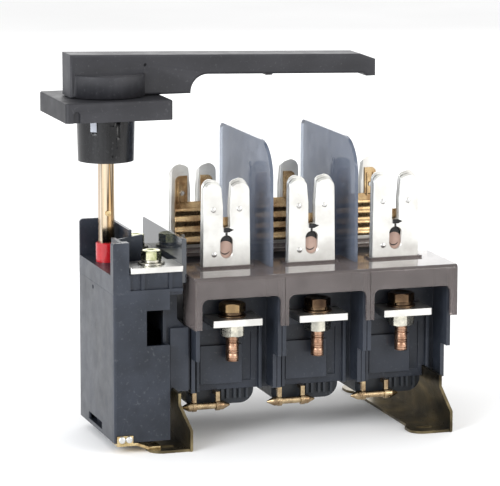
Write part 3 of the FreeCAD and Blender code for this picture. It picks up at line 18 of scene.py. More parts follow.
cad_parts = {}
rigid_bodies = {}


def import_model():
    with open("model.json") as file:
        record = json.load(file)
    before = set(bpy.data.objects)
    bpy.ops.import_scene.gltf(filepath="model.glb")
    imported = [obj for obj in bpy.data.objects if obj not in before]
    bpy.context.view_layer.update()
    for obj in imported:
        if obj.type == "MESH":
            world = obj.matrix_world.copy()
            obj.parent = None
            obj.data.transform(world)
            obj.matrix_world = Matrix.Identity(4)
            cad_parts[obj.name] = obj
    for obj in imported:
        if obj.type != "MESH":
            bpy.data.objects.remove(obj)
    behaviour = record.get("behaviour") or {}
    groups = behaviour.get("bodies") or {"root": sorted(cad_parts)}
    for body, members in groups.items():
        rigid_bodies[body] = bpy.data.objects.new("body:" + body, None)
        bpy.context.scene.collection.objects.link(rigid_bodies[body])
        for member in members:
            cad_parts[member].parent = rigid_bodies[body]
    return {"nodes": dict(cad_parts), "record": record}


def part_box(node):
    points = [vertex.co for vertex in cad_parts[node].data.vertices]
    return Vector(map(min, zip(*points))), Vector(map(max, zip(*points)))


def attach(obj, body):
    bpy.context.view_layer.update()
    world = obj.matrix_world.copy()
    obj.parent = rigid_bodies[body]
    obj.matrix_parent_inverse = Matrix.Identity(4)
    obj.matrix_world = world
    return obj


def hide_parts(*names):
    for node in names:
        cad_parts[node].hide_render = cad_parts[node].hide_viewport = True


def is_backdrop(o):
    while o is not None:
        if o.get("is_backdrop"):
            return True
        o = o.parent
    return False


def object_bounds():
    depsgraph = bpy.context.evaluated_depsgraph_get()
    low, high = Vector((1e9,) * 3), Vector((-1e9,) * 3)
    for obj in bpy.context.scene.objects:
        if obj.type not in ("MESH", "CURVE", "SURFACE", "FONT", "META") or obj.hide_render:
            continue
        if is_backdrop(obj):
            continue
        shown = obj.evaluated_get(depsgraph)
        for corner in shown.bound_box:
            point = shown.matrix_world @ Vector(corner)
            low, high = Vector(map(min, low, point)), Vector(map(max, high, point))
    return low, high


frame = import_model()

MM = 0.001
WELD_M = 1e-6
FLAT_DEG = 0.8
SHARP_DEG = 35.0
SHARP_ROUNDED_DEG = 60.0
BODY = "switch_body"
SHAFT = "handle_shaft"
log = logging.getLogger("fuse_switch")

Colour = tuple[float, float, float]
Pair = tuple[float, float]
Point = tuple[float, float, float]


# ---- shader graphs ------------------------------------------------------------------------------

class Graph:
    """Shader nodes of one material, with short ways to add and join them."""

    def __init__(self, label: str) -> None:
        """Start a material that holds one Principled shader.

        Args:
            label: the material's name.
        """
        self.material = bpy.data.materials.new(label)
        self.material.use_nodes = True
        self.tree = self.material.node_tree
        self.shader = self.tree.nodes["Principled BSDF"]
        self.output = self.tree.nodes["Material Output"]
        self.place = self.add("ShaderNodeTexCoord").outputs["Object"]

    def add(self, kind: str, sockets: dict[Any, Any] | None = None, **settings: Any) -> bpy.types.Node:
        """Add a node.

        Args:
            kind: the node's type name.
            sockets: input name or index to a value, or to an output socket to join.
            settings: attributes to set on the node.

        Returns:
            The new node.
        """
        node = self.tree.nodes.new(kind)
        for name, value in settings.items():
            setattr(node, name, value)
        for name, value in (sockets or {}).items():
            self.feed(node, name, value)
        return node

    def feed(self, node: bpy.types.Node, name: Any, value: Any) -> None:
        """Set one input of a node to a value, or join an output socket to it."""
        socket = node.inputs[name]
        if isinstance(value, bpy.types.NodeSocket):
            self.tree.links.new(value, socket)
        else:
            socket.default_value = value

    def noise(self, size_mm: float, detail: float = 2.0,
              stretch: Point = (1.0, 1.0, 1.0)) -> bpy.types.NodeSocket:
        """Add noise whose blobs are about size_mm across.

        Args:
            size_mm: blob size.
            detail: octaves of finer noise on top.
            stretch: how many times finer the noise is along each axis.

        Returns:
            The noise value, around 0.5.
        """
        mapping = self.add("ShaderNodeMapping", {"Vector": self.place, "Scale": stretch})
        node = self.add("ShaderNodeTexNoise", {"Vector": mapping.outputs[0], "Scale": 1.0 / (size_mm * MM),
                                               "Detail": detail, "Roughness": 0.55})
        return node.outputs["Fac"]

    def ramp(self, value: bpy.types.NodeSocket,
             stops: Sequence[tuple[float, Colour]]) -> bpy.types.NodeSocket:
        """Turn a value into a colour.

        Args:
            value: the driving value.
            stops: (place, colour) pairs from low to high.

        Returns:
            The colour socket.
        """
        node = self.add("ShaderNodeValToRGB", {"Fac": value})
        elements = node.color_ramp.elements
        while len(elements) < len(stops):
            elements.new(0.5)
        for element, (place, colour) in zip(elements, stops):
            element.position = place
            element.color = (*colour, 1.0)
        return node.outputs["Color"]

    def spread(self, value: bpy.types.NodeSocket, low: Pair, high: Pair) -> bpy.types.NodeSocket:
        """Map a value from one range onto another.

        Args:
            value: the driving value.
            low: the value's low end and what it becomes.
            high: the value's high end and what it becomes.

        Returns:
            The mapped value.
        """
        node = self.add("ShaderNodeMapRange", {"Value": value, "From Min": low[0], "From Max": high[0],
                                               "To Min": low[1], "To Max": high[1]})
        return node.outputs["Result"]

    def mix(self, share: Any, first: Any, second: Any, blend: str = "MIX") -> bpy.types.NodeSocket:
        """Mix two colours.

        Args:
            share: how much of the second, a number or a socket.
            first: colour or socket.
            second: colour or socket.
            blend: Blender's blend type.

        Returns:
            The mixed colour.
        """
        node = self.add("ShaderNodeMix", data_type="RGBA", blend_type=blend)
        inputs = [s for s in node.inputs if s.enabled]
        for socket, value in zip(inputs, (share, first, second)):
            if isinstance(value, bpy.types.NodeSocket):
                self.tree.links.new(value, socket)
            else:
                socket.default_value = (*value, 1.0) if isinstance(value, tuple) else value
        return [s for s in node.outputs if s.enabled][0]

    def bump(self, height: bpy.types.NodeSocket, depth_mm: float, strength: float) -> None:
        """Drive the shader's normal from a height."""
        node = self.add("ShaderNodeBump", {"Height": height, "Distance": depth_mm * MM, "Strength": strength})
        self.feed(self.shader, "Normal", node.outputs["Normal"])

    def edges(self) -> bpy.types.NodeSocket:
        """Give a value that is 1 on rubbed outer edges and 0 elsewhere."""
        pointed = self.add("ShaderNodeNewGeometry").outputs["Pointiness"]
        return self.spread(pointed, (0.515, 0.0), (0.60, 1.0))


@dataclass(frozen=True)
class Moulding:
    """Moulded plastic: slightly mottled, with a spark-eroded grain, faint flow marks and rubbed edges."""

    label: str
    deep: Colour
    pale: Colour
    rough: Pair
    grain_mm: float = 0.45
    relief: float = 0.12
    rub: float = 0.35
    coat: float = 0.0
    gloss: float = 0.32

    def build(self) -> bpy.types.Material:
        """Build the material."""
        g = Graph(self.label)
        base = g.ramp(g.noise(26.0, 3.0), [(0.36, self.deep), (0.64, self.pale)])
        dust = g.noise(2.2, 4.0)
        dusty = g.mix(g.spread(dust, (0.60, 0.0), (0.80, 0.10)), base, (0.45, 0.45, 0.46))
        rubbed = tuple(min(1.0, c * 2.0 + 0.03) for c in self.pale)
        share = g.add("ShaderNodeMath", {0: g.edges(), 1: self.rub}, operation="MULTIPLY").outputs[0]
        g.feed(g.shader, "Base Color", g.mix(share, dusty, rubbed))
        sheen = g.spread(g.noise(14.0, 4.0), (0.3, self.rough[0]), (0.7, self.rough[1]))
        g.feed(g.shader, "Roughness", sheen)
        g.bump(g.noise(self.grain_mm, 3.0), 0.06, self.relief)
        g.shader.inputs["Specular IOR Level"].default_value = self.gloss
        g.shader.inputs["Coat Weight"].default_value = self.coat
        g.shader.inputs["Coat Roughness"].default_value = 0.12
        return g.material


@dataclass(frozen=True)
class Metal:
    """Plated or machined metal: drifting tones, fine lay lines, smudges and small scratches."""

    label: str
    tones: tuple[Colour, ...]
    rough: Pair
    drift_mm: float = 12.0
    lay: Point = (1.0, 1.0, 1.0)
    drift_stretch: Point = (1.0, 1.0, 1.0)
    relief: float = 0.05
    scratch: float = 0.25

    def build(self) -> bpy.types.Material:
        """Build the material."""
        g = Graph(self.label)
        last = len(self.tones) - 1
        stops = [(0.34 + 0.32 * i / max(1, last), tone) for i, tone in enumerate(self.tones)]
        base = g.ramp(g.noise(self.drift_mm, 3.0, self.drift_stretch), stops)
        lines = g.noise(0.9, 2.0, self.lay)
        marks = g.noise(1.6, 5.0, (0.25, 3.0, 0.6))
        dark = tuple(c * 0.45 for c in self.tones[0])
        share = g.spread(marks, (0.63, 0.0), (0.78, self.scratch))
        g.feed(g.shader, "Base Color", g.mix(share, base, dark))
        smudge = g.add("ShaderNodeMath", {0: g.noise(9.0, 3.0), 1: lines}, operation="ADD").outputs[0]
        g.feed(g.shader, "Roughness", g.spread(smudge, (0.7, self.rough[0]), (1.35, self.rough[1])))
        g.bump(lines, 0.02, self.relief)
        g.shader.inputs["Metallic"].default_value = 1.0
        return g.material


@dataclass(frozen=True)
class ClearPlastic:
    """Tinted clear plastic: lets light through, mirrors at a glancing angle, and carries faint haze."""

    label: str
    tint: Colour
    body: Colour
    solid: float
    haze: float = 0.12
    rough: Pair = (0.04, 0.12)

    def build(self) -> bpy.types.Material:
        """Build the material."""
        g = Graph(self.label)
        g.feed(g.shader, "Base Color", g.ramp(g.noise(30.0, 2.0), [(0.3, self.body),
                                                                  (0.7, tuple(c * 1.25 for c in self.body))]))
        sheen = g.spread(g.noise(18.0, 4.0), (0.35, self.rough[0]), (0.7, self.rough[1]))
        g.feed(g.shader, "Roughness", sheen)
        g.shader.inputs["Specular IOR Level"].default_value = 0.9
        g.shader.inputs["IOR"].default_value = 1.58
        glance = g.add("ShaderNodeFresnel", {"IOR": 1.45}).outputs[0]
        haze = g.spread(g.noise(11.0, 5.0), (0.4, self.solid), (0.75, self.solid + self.haze))
        share = g.add("ShaderNodeMath", {0: haze, 1: glance}, operation="ADD", use_clamp=True).outputs[0]
        clear = g.add("ShaderNodeBsdfTransparent", {"Color": (*self.tint, 1.0)}).outputs[0]
        blend = g.add("ShaderNodeMixShader", {0: share, 1: clear, 2: g.shader.outputs[0]})
        g.feed(g.output, "Surface", blend.outputs[0])
        return g.material


class Finish(Enum):
    """Every finish on the switch."""

    SLATE = Moulding("slate_moulding", (0.012, 0.0150, 0.0215), (0.022, 0.0265, 0.037), (0.30, 0.42))
    # A darker copy of the slate moulding: painted shade on the recessed arc chambers.
    SLATE_DARK = Moulding("slate_moulding_dark", (0.007, 0.009, 0.012), (0.013, 0.016, 0.021), (0.34, 0.48))
    CHARCOAL = Moulding("charcoal_moulding", (0.016, 0.016, 0.019), (0.024, 0.024, 0.028), (0.46, 0.58),
                        relief=0.25)
    BLACK = Moulding("black_moulding", (0.003, 0.003, 0.0035), (0.006, 0.006, 0.007), (0.16, 0.28))
    TAB = Moulding("grey_tab", (0.36, 0.38, 0.44), (0.46, 0.48, 0.54), (0.35, 0.5))
    RED = Moulding("red_moulding", (0.40, 0.010, 0.016), (0.54, 0.018, 0.026), (0.16, 0.26), rub=0.1,
                   coat=0.5)
    SILVER = Metal("silver_plate", ((0.64, 0.63, 0.60), (0.80, 0.80, 0.77)), (0.28, 0.42), 16.0,
                   (1.0, 1.0, 9.0))
    GOLD = Metal("yellow_passivated", ((0.34, 0.22, 0.10), (0.72, 0.56, 0.30), (0.50, 0.38, 0.18)),
                 (0.20, 0.34), 9.0)
    DULL_GOLD = Metal("dull_passivated", ((0.045, 0.036, 0.022), (0.13, 0.105, 0.06), (0.30, 0.24, 0.13)),
                      (0.26, 0.40), 30.0)
    PIN = Metal("pin_bronze", ((0.20, 0.13, 0.075), (0.52, 0.40, 0.24)), (0.20, 0.32), 8.0)
    SPRING = Metal("spring_gold", ((0.30, 0.18, 0.09), (0.60, 0.44, 0.24)), (0.20, 0.32), 10.0,
                   (1.0, 1.0, 6.0))
    BOLT = Metal("bolt_bronze", ((0.050, 0.030, 0.020), (0.15, 0.095, 0.055), (0.42, 0.29, 0.14)),
                 (0.24, 0.38), 30.0)
    BRONZE = Metal("washer_bronze", ((0.060, 0.038, 0.024), (0.16, 0.105, 0.062)), (0.26, 0.40), 12.0)
    THREAD = Metal("thread_copper", ((0.34, 0.19, 0.12), (0.62, 0.40, 0.28)), (0.26, 0.38), 6.0)
    ZINC = Metal("zinc", ((0.58, 0.57, 0.55), (0.72, 0.72, 0.70)), (0.22, 0.36), 8.0)
    NUT = Metal("nut_zinc", ((0.36, 0.35, 0.31), (0.72, 0.69, 0.58)), (0.22, 0.34), 7.0)
    NEUTRAL_ZINC = Metal("olive_zinc", ((0.34, 0.36, 0.18), (0.74, 0.72, 0.50)), (0.20, 0.34), 5.0)
    # Passivation streaks along the shaft, with painted reflections: the dark, cream, black and orange bands
    # stretched along Z stand in for the dark and bright reflections on the glossy shaft.
    SHAFT_GOLD = Metal("shaft_passivated", ((0.020, 0.013, 0.010), (0.42, 0.25, 0.11), (0.80, 0.66, 0.48),
                                            (0.030, 0.020, 0.014), (0.62, 0.40, 0.20)), (0.10, 0.22), 8.0,
                       (3.0, 3.0, 0.3), drift_stretch=(2.0, 2.0, 0.02), scratch=0.1)
    BRASS = Metal("brass", ((0.66, 0.46, 0.20), (0.80, 0.62, 0.34)), (0.25, 0.4))
    BARRIER = ClearPlastic("blue_grey_sheet", (0.72, 0.76, 0.82), (0.21, 0.235, 0.29), 0.24)
    SMOKE = ClearPlastic("smoky_clear", (0.74, 0.69, 0.67), (0.175, 0.150, 0.146), 0.30, 0.10)
    DARK_SHEET = ClearPlastic("dark_sheet", (0.20, 0.23, 0.28), (0.022, 0.027, 0.035), 0.78)
    TERMINAL_BROWN = Moulding("brown_cup", (0.20, 0.115, 0.09), (0.40, 0.28, 0.23), (0.25, 0.4))

    @property
    def material(self) -> bpy.types.Material:
        """The finish as a material, built once."""
        return built(self)


@cache
def built(finish: Finish) -> bpy.types.Material:
    """Build a finish the first time that it is asked for."""
    return finish.value.build()


# ---- meshes -------------------------------------------------------------------------------------

class Axis(Enum):
    """Row axes."""

    X = 0
    Y = 1
    Z = 2

    def point(self, along: float, first: float, second: float) -> Point:
        """Place a point given along this axis and along the other two, in X, Y, Z order."""
        rest = [first, second]
        rest.insert(self.value, along)
        return tuple(rest)


@dataclass(frozen=True)
class Extent:
    """Lowest and highest corner of a CAD node."""

    x0: float
    y0: float
    z0: float
    x1: float
    y1: float
    z1: float

    @classmethod
    def of(cls, node: str) -> "Extent":
        """Measure a node at rest."""
        low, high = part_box(node)
        return cls(*(c / MM for c in (*low, *high)))

    @property
    def middle(self) -> Point:
        """Its centre."""
        return (self.x0 + self.x1) / 2, (self.y0 + self.y1) / 2, (self.z0 + self.z1) / 2


@dataclass(frozen=True)
class Edge:
    """How sharp edges are rounded: the width, the steps and the smallest angle that counts as sharp."""

    width: float = 0.35
    steps: int = 2
    angle_deg: float = 28.0


class Form:
    """A mesh under construction, in millimetres."""

    def __init__(self) -> None:
        """Start with nothing."""
        self.bm = bmesh.new()

    @classmethod
    def copy_of(cls, node: str) -> "Form":
        """Copy a CAD node: its loose triangles welded and its flat faces cut into well-shaped triangles."""
        form = cls()
        form.bm.from_mesh(frame["nodes"][node].data)
        bmesh.ops.remove_doubles(form.bm, verts=form.bm.verts, dist=WELD_M)
        bmesh.ops.scale(form.bm, verts=form.bm.verts, vec=(1 / MM,) * 3)
        bmesh.ops.dissolve_limit(form.bm, angle_limit=math.radians(FLAT_DEG), verts=form.bm.verts,
                                 edges=form.bm.edges)
        bmesh.ops.triangulate(form.bm, faces=form.bm.faces)
        return form

    def prism(self, outline: Sequence[Pair], axis: Axis, low: float, high: float) -> "Form":
        """Push a closed outline along an axis.

        Args:
            outline: points in the other two axes, in X, Y, Z order.
            axis: the direction of the push.
            low: where it starts.
            high: where it ends.

        Returns:
            This form.
        """
        rings = [[self.bm.verts.new(axis.point(level, *p)) for p in outline] for level in (low, high)]
        count = len(outline)
        faces = [self.bm.faces.new(rings[0]), self.bm.faces.new(rings[1])]
        for i in range(count):
            j = (i + 1) % count
            faces.append(self.bm.faces.new((rings[0][i], rings[0][j], rings[1][j], rings[1][i])))
        bmesh.ops.recalc_face_normals(self.bm, faces=faces)
        return self

    def block(self, low: Point, high: Point) -> "Form":
        """Add a block between two corners."""
        outline = [(low[0], low[1]), (high[0], low[1]), (high[0], high[1]), (low[0], high[1])]
        return self.prism(outline, Axis.Z, low[2], high[2])

    def lathe(self, profile: Sequence[Pair], centre: Point, axis: Axis, steps: int = 48) -> "Form":
        """Turn a profile about an axis.

        Args:
            profile: (radius, distance along the axis from the centre), from one end to the other.
            centre: a point on the axis.
            axis: the axis it turns about.
            steps: facets round the turn.

        Returns:
            This form.
        """
        rings = []
        for radius, along in profile:
            ring = []
            for k in range(steps if radius > 1e-6 else 1):
                turn = 2 * math.pi * k / steps
                offset = axis.point(along, radius * math.cos(turn), radius * math.sin(turn))
                ring.append(self.bm.verts.new(Vector(centre) + Vector(offset)))
            rings.append(ring)
        faces = []
        for a, b in zip(rings, rings[1:]):
            for k in range(steps):
                loop = [a[k % len(a)], a[(k + 1) % len(a)], b[(k + 1) % len(b)], b[k % len(b)]]
                faces.append(self.bm.faces.new(list(dict.fromkeys(loop))))
        for ring in (rings[0], rings[-1]):
            if len(ring) > 1:
                faces.append(self.bm.faces.new(ring))
        bmesh.ops.recalc_face_normals(self.bm, faces=faces)
        return self

    def flip_y(self) -> None:
        """Turn the form into its mirror image across Y 0, with its faces still outwards."""
        for vert in self.bm.verts:
            vert.co.y = -vert.co.y
        bmesh.ops.reverse_faces(self.bm, faces=self.bm.faces)

    def finish(self, name: str, finish: Finish, edge: Edge | None = Edge()) -> bpy.types.Object:
        """Turn the form into a finished object at the origin, in metres.

        Args:
            name: the piece's name.
            finish: what it is made of.
            edge: how its sharp edges are rounded, or None to leave them.

        Returns:
            The object, in the scene.
        """
        bmesh.ops.scale(self.bm, verts=self.bm.verts, vec=(MM,) * 3)
        mesh = bpy.data.meshes.new(name)
        self.bm.to_mesh(mesh)
        self.bm.free()
        mesh.materials.clear()
        mesh.materials.append(finish.material)
        mesh.polygons.foreach_set("material_index", [0] * len(mesh.polygons))
        mesh.shade_smooth()
        piece = bpy.data.objects.new(name, mesh)
        bpy.context.scene.collection.objects.link(piece)
        if edge:
            bevel = piece.modifiers.new("rounded_edges", "BEVEL")
            bevel.width = edge.width * MM
            bevel.segments = edge.steps
            bevel.limit_method = "ANGLE"
            bevel.angle_limit = math.radians(edge.angle_deg)
            bevel.use_clamp_overlap = True
            bevel.miter_outer = "MITER_ARC"
        flat = piece.modifiers.new("flat_faces", "WEIGHTED_NORMAL")
        flat.keep_sharp = True
        flat.mode = "FACE_AREA_WITH_ANGLE"
        mesh.set_sharp_from_angle(angle=math.radians(SHARP_ROUNDED_DEG if edge else SHARP_DEG))
        return settle(piece)


def settle(piece: bpy.types.Object) -> bpy.types.Object:
    """Replace a piece's mesh by what its modifiers make of it, and take the modifiers off."""
    graph = bpy.context.evaluated_depsgraph_get()
    mesh = bpy.data.meshes.new_from_object(piece.evaluated_get(graph), depsgraph=graph)
    piece.modifiers.clear()
    piece.data = mesh
    mesh.name = piece.name
    return piece


def place(piece: bpy.types.Object, slot: str, body: str = BODY, nodes: Iterable[str] = ()) -> None:
    """Hang a finished piece on a body and say what it stands for.

    Args:
        piece: the piece.
        slot: the record's material slot; not used.
        body: the CAD body that it moves with.
        nodes: CAD nodes that it replaces.
    """
    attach(piece, body)
    if nodes:
        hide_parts(*nodes)
    log.info("%s on %s: %d faces", piece.name, body, len(piece.data.polygons))


def arc(centre: Pair, radius: float, start_deg: float, end_deg: float, steps: int = 6) -> list[Pair]:
    """Give points on an arc, both ends included."""
    turns = [math.radians(start_deg + (end_deg - start_deg) * k / steps) for k in range(steps + 1)]
    return [(centre[0] + radius * math.cos(t), centre[1] + radius * math.sin(t)) for t in turns]


# ---- Geometry Nodes -----------------------------------------------------------------------------

class Tree:
    """A Geometry Nodes tree with named inputs that ends in Realize Instances and Set Material."""

    def __init__(self, name: str, inputs: dict[str, str]) -> None:
        """Start a tree.

        Args:
            name: the tree's name.
            inputs: input name to socket type, after the geometry itself.
        """
        self.tree = bpy.data.node_groups.new(name, "GeometryNodeTree")
        face = self.tree.interface
        face.new_socket("Geometry", in_out="INPUT", socket_type="NodeSocketGeometry")
        self.ids = {label: face.new_socket(label, in_out="INPUT", socket_type=kind).identifier
                    for label, kind in (inputs | {"Finish": "NodeSocketMaterial"}).items()}
        face.new_socket("Geometry", in_out="OUTPUT", socket_type="NodeSocketGeometry")
        self.source = self.tree.nodes.new("NodeGroupInput")

    def add(self, kind: str, sockets: dict[Any, Any] | None = None, **settings: Any) -> bpy.types.Node:
        """Add a node; a string given for a socket names one of the tree's inputs."""
        node = self.tree.nodes.new(kind)
        for name, value in settings.items():
            setattr(node, name, value)
        for name, value in (sockets or {}).items():
            if isinstance(value, str):
                value = self.source.outputs[value]
            if isinstance(value, bpy.types.NodeSocket):
                self.tree.links.new(value, node.inputs[name])
            else:
                node.inputs[name].default_value = value
        return node

    def close(self, geometry: bpy.types.NodeSocket) -> "Tree":
        """End the tree: realize the instances, set the finish and put the result out."""
        solid = self.add("GeometryNodeRealizeInstances", {"Geometry": geometry}).outputs[0]
        dressed = self.add("GeometryNodeSetMaterial", {"Geometry": solid, "Material": "Finish"}).outputs[0]
        out = self.tree.nodes.new("NodeGroupOutput")
        self.tree.links.new(dressed, out.inputs[0])
        return self

    def run(self, name: str, mesh: bpy.types.Mesh, finish: Finish, values: dict[str, Any],
            edge: Edge | None = None) -> bpy.types.Object:
        """Run the tree on a mesh and keep the result as a plain piece.

        Args:
            name: the piece's name.
            mesh: what the tree starts from.
            finish: the finish of what it makes.
            values: input name to value.
            edge: how sharp edges of the result are rounded, or None.

        Returns:
            The piece, with no modifier left on it.
        """
        piece = bpy.data.objects.new(name, mesh)
        bpy.context.scene.collection.objects.link(piece)
        modifier = piece.modifiers.new("nodes", "NODES")
        modifier.node_group = self.tree
        for label, value in (values | {"Finish": finish.material}).items():
            modifier[self.ids[label]] = value
        settle(piece)
        form = Form()
        form.bm.from_mesh(piece.data)
        bmesh.ops.scale(form.bm, verts=form.bm.verts, vec=(1 / MM,) * 3)
        bpy.data.objects.remove(piece)
        return form.finish(name, finish, edge)


@cache
def scatter_tree() -> Tree:
    """Tree that sets a template on every point, turned by the point's own turn and a small seeded one."""
    t = Tree("scatter", {"Template": "NodeSocketObject", "Loose Turn": "NodeSocketFloat",
                         "Seed": "NodeSocketInt"})
    shape = t.add("GeometryNodeObjectInfo", {"Object": "Template"}).outputs["Geometry"]
    own = t.add("GeometryNodeInputNamedAttribute", {"Name": ""}, data_type="FLOAT")
    own.inputs["Name"].default_value = "turn"
    below = t.add("ShaderNodeMath", {0: "Loose Turn", 1: -1.0}, operation="MULTIPLY").outputs[0]
    loose = t.add("FunctionNodeRandomValue", {"Seed": "Seed"}, data_type="FLOAT")
    t.tree.links.new(below, loose.inputs[2])
    t.tree.links.new(t.source.outputs["Loose Turn"], loose.inputs[3])
    turn = t.add("ShaderNodeMath", {0: own.outputs[0], 1: loose.outputs[1]}, operation="ADD").outputs[0]
    spin = t.add("ShaderNodeCombineXYZ", {"Z": turn}).outputs[0]
    points = t.add("GeometryNodeMeshToPoints", {"Mesh": "Geometry"}).outputs[0]
    return t.close(t.add("GeometryNodeInstanceOnPoints", {"Points": points, "Instance": shape,
                                                          "Rotation": spin}).outputs[0])


@cache
def thread_tree() -> Tree:
    """Tree that sets a threaded length, a core with a helical ridge, on every point."""
    t = Tree("thread", {"Core Radius": "NodeSocketFloat", "Ridge": "NodeSocketFloat",
                        "Pitch": "NodeSocketFloat", "Length": "NodeSocketFloat"})
    turns = t.add("ShaderNodeMath", {0: "Length", 1: "Pitch"}, operation="DIVIDE").outputs[0]
    helix = t.add("GeometryNodeCurveSpiral", {"Resolution": 24, "Rotations": turns, "Height": "Length",
                                              "Start Radius": "Core Radius",
                                              "End Radius": "Core Radius"}).outputs[0]
    section = t.add("GeometryNodeCurvePrimitiveCircle", {"Resolution": 4, "Radius": "Ridge"}, mode="RADIUS")
    ridge = t.add("GeometryNodeCurveToMesh", {"Curve": helix, "Profile Curve": section.outputs[0],
                                              "Fill Caps": True}).outputs[0]
    core = t.add("GeometryNodeMeshCylinder", {"Vertices": 28, "Radius": "Core Radius", "Depth": "Length"})
    half = t.add("ShaderNodeMath", {0: "Length", 1: 0.5}, operation="MULTIPLY").outputs[0]
    lift = t.add("ShaderNodeCombineXYZ", {"Z": half}).outputs[0]
    raised = t.add("GeometryNodeTransform", {"Geometry": core.outputs["Mesh"],
                                             "Translation": lift}).outputs[0]
    both = t.add("GeometryNodeJoinGeometry")
    t.tree.links.new(ridge, both.inputs[0])
    t.tree.links.new(raised, both.inputs[0])
    points = t.add("GeometryNodeMeshToPoints", {"Mesh": "Geometry"}).outputs[0]
    return t.close(t.add("GeometryNodeInstanceOnPoints", {"Points": points,
                                                          "Instance": both.outputs[0]}).outputs[0])


def points_mesh(places: Sequence[Point], turns: Sequence[float] = ()) -> bpy.types.Mesh:
    """Make a mesh of loose points in metres, each with a turn about Z in radians."""
    mesh = bpy.data.meshes.new("points")
    mesh.from_pydata([tuple(c * MM for c in p) for p in places], [], [])
    turn = mesh.attributes.new("turn", "FLOAT", "POINT")
    turn.data.foreach_set("value", list(turns) or [0.0] * len(places))
    return mesh


def scatter(name: str, template: bpy.types.Object, places: Sequence[Point], finish: Finish,
            turns: Sequence[float] = (), loose: float = 0.0, seed: int = 1) -> bpy.types.Object:
    """Set copies of a template on places, and remove the template.

    Args:
        name: the piece's name.
        template: what is repeated, modelled about the origin.
        places: where the copies go.
        finish: their finish.
        turns: the turn of each about Z, in radians.
        loose: how far each may turn by itself, in radians.
        seed: the seed of that turn.

    Returns:
        The piece.
    """
    values = {"Template": template, "Loose Turn": loose, "Seed": seed}
    piece = scatter_tree().run(name, points_mesh(places, turns), finish, values)
    bpy.data.objects.remove(template)
    return piece


# ---- carried-over nodes -------------------------------------------------------------------------

@dataclass(frozen=True)
class Carried:
    """CAD nodes whose shape is right: each gets a copy with rounded edges, or just its finish."""

    nodes: tuple[str, ...]
    finish: Finish
    slot: str
    edge: Edge | None = Edge()
    body: str = BODY
    plain: bool = False

    def build(self) -> None:
        """Dress every node of the set."""
        for node in self.nodes:
            if self.plain:
                self.dress(frame["nodes"][node])
            else:
                piece = Form.copy_of(node).finish(f"{node}_skin", self.finish, self.edge)
                place(piece, self.slot, self.body, [node])

    def dress(self, node: bpy.types.Object) -> None:
        """Give a CAD node its finish and leave its mesh alone."""
        node.data.materials.clear()
        node.data.materials.append(self.finish.material)
        log.info("%s keeps its own mesh", node.name)


def numbered(stem: str, count: int = 3) -> tuple[str, ...]:
    """Names of a node that every pole has."""
    return tuple(f"{stem}_{i}" for i in range(1, count + 1))


CARRIED = (
    Carried(("mechanism_housing", "mechanism_cover", "corner_trim", "top_cap"), Finish.SLATE, "housing"),
    Carried(("ear_screws",), Finish.ZINC, "zinc_steel", Edge(0.2)),
    Carried(numbered("pole_base"), Finish.SLATE, "housing"),
    # The arc chambers take the darker slate copy, which is painted shade.
    Carried(numbered("arc_chamber"), Finish.SLATE_DARK, "housing", Edge(0.5)),
    Carried(("bracket_left", "bracket_right"), Finish.DULL_GOLD, "passivated_steel", Edge(0.3)),
    Carried(("base_strip",), Finish.GOLD, "passivated_steel", Edge(0.3)),
    Carried(("eye_bars", "tie_pins"), Finish.PIN, "passivated_steel", Edge(0.25)),
    Carried(numbered("front_lug") + numbered("rear_lug") + ("neutral_link",), Finish.SILVER, "silver_plated",
            Edge(0.4)),
    Carried(("front_shroud", "rear_shroud"), Finish.SMOKE, "smoked_shroud", Edge(0.5, 3)),
    Carried(("phase_barrier_1", "phase_barrier_2"), Finish.BARRIER, "clear_barrier", Edge(0.3)),
    Carried(("neutral_barrier",), Finish.DARK_SHEET, "smoked_barrier", Edge(0.3)),
    Carried(("escutcheon",), Finish.CHARCOAL, "charcoal", Edge(0.4)),
    Carried(("escutcheon_boss",), Finish.BLACK, "black_moulding", None),
    Carried(("boss_insert",), Finish.TAB, "light_insert", Edge(0.1)),
    Carried(("handle_lever",), Finish.CHARCOAL, "charcoal", None, SHAFT),
    Carried(("lock_slide",), Finish.CHARCOAL, "charcoal", Edge(0.4), "lock_slide"),
    Carried(("extension_shaft",), Finish.SHAFT_GOLD, "zinc_steel", Edge(0.3), SHAFT),
    Carried(("shaft_pin",), Finish.GOLD, "passivated_spring", Edge(0.3), SHAFT),
    Carried(("shaft_coupler",), Finish.RED, "red_coupler", Edge(0.3), SHAFT),
    Carried(("spindle",), Finish.ZINC, "zinc_steel", None, SHAFT, plain=True),
    Carried(("drive_pinion",), Finish.BRASS, "pinion_brass", None, SHAFT, plain=True),
    Carried(("idler_gear",), Finish.BLACK, "drive_plastic", None, "idler", plain=True),
    Carried(("idler_pin", "detent_spring"), Finish.ZINC, "zinc_steel", None, plain=True),
    Carried(("drive_bar", "contact_carriers"), Finish.BLACK, "drive_plastic", None, "contact_bar",
            plain=True),
    Carried(("contact_springs",), Finish.ZINC, "zinc_steel", None, "contact_bar", plain=True),
    Carried(numbered("moving_contacts"), Finish.SILVER, "silver_plated", None, "contact_bar", plain=True),
    Carried(("slot_stops",), Finish.BLACK, "black_moulding", Edge(0.15)),
)


# ---- fuse clips ---------------------------------------------------------------------------------

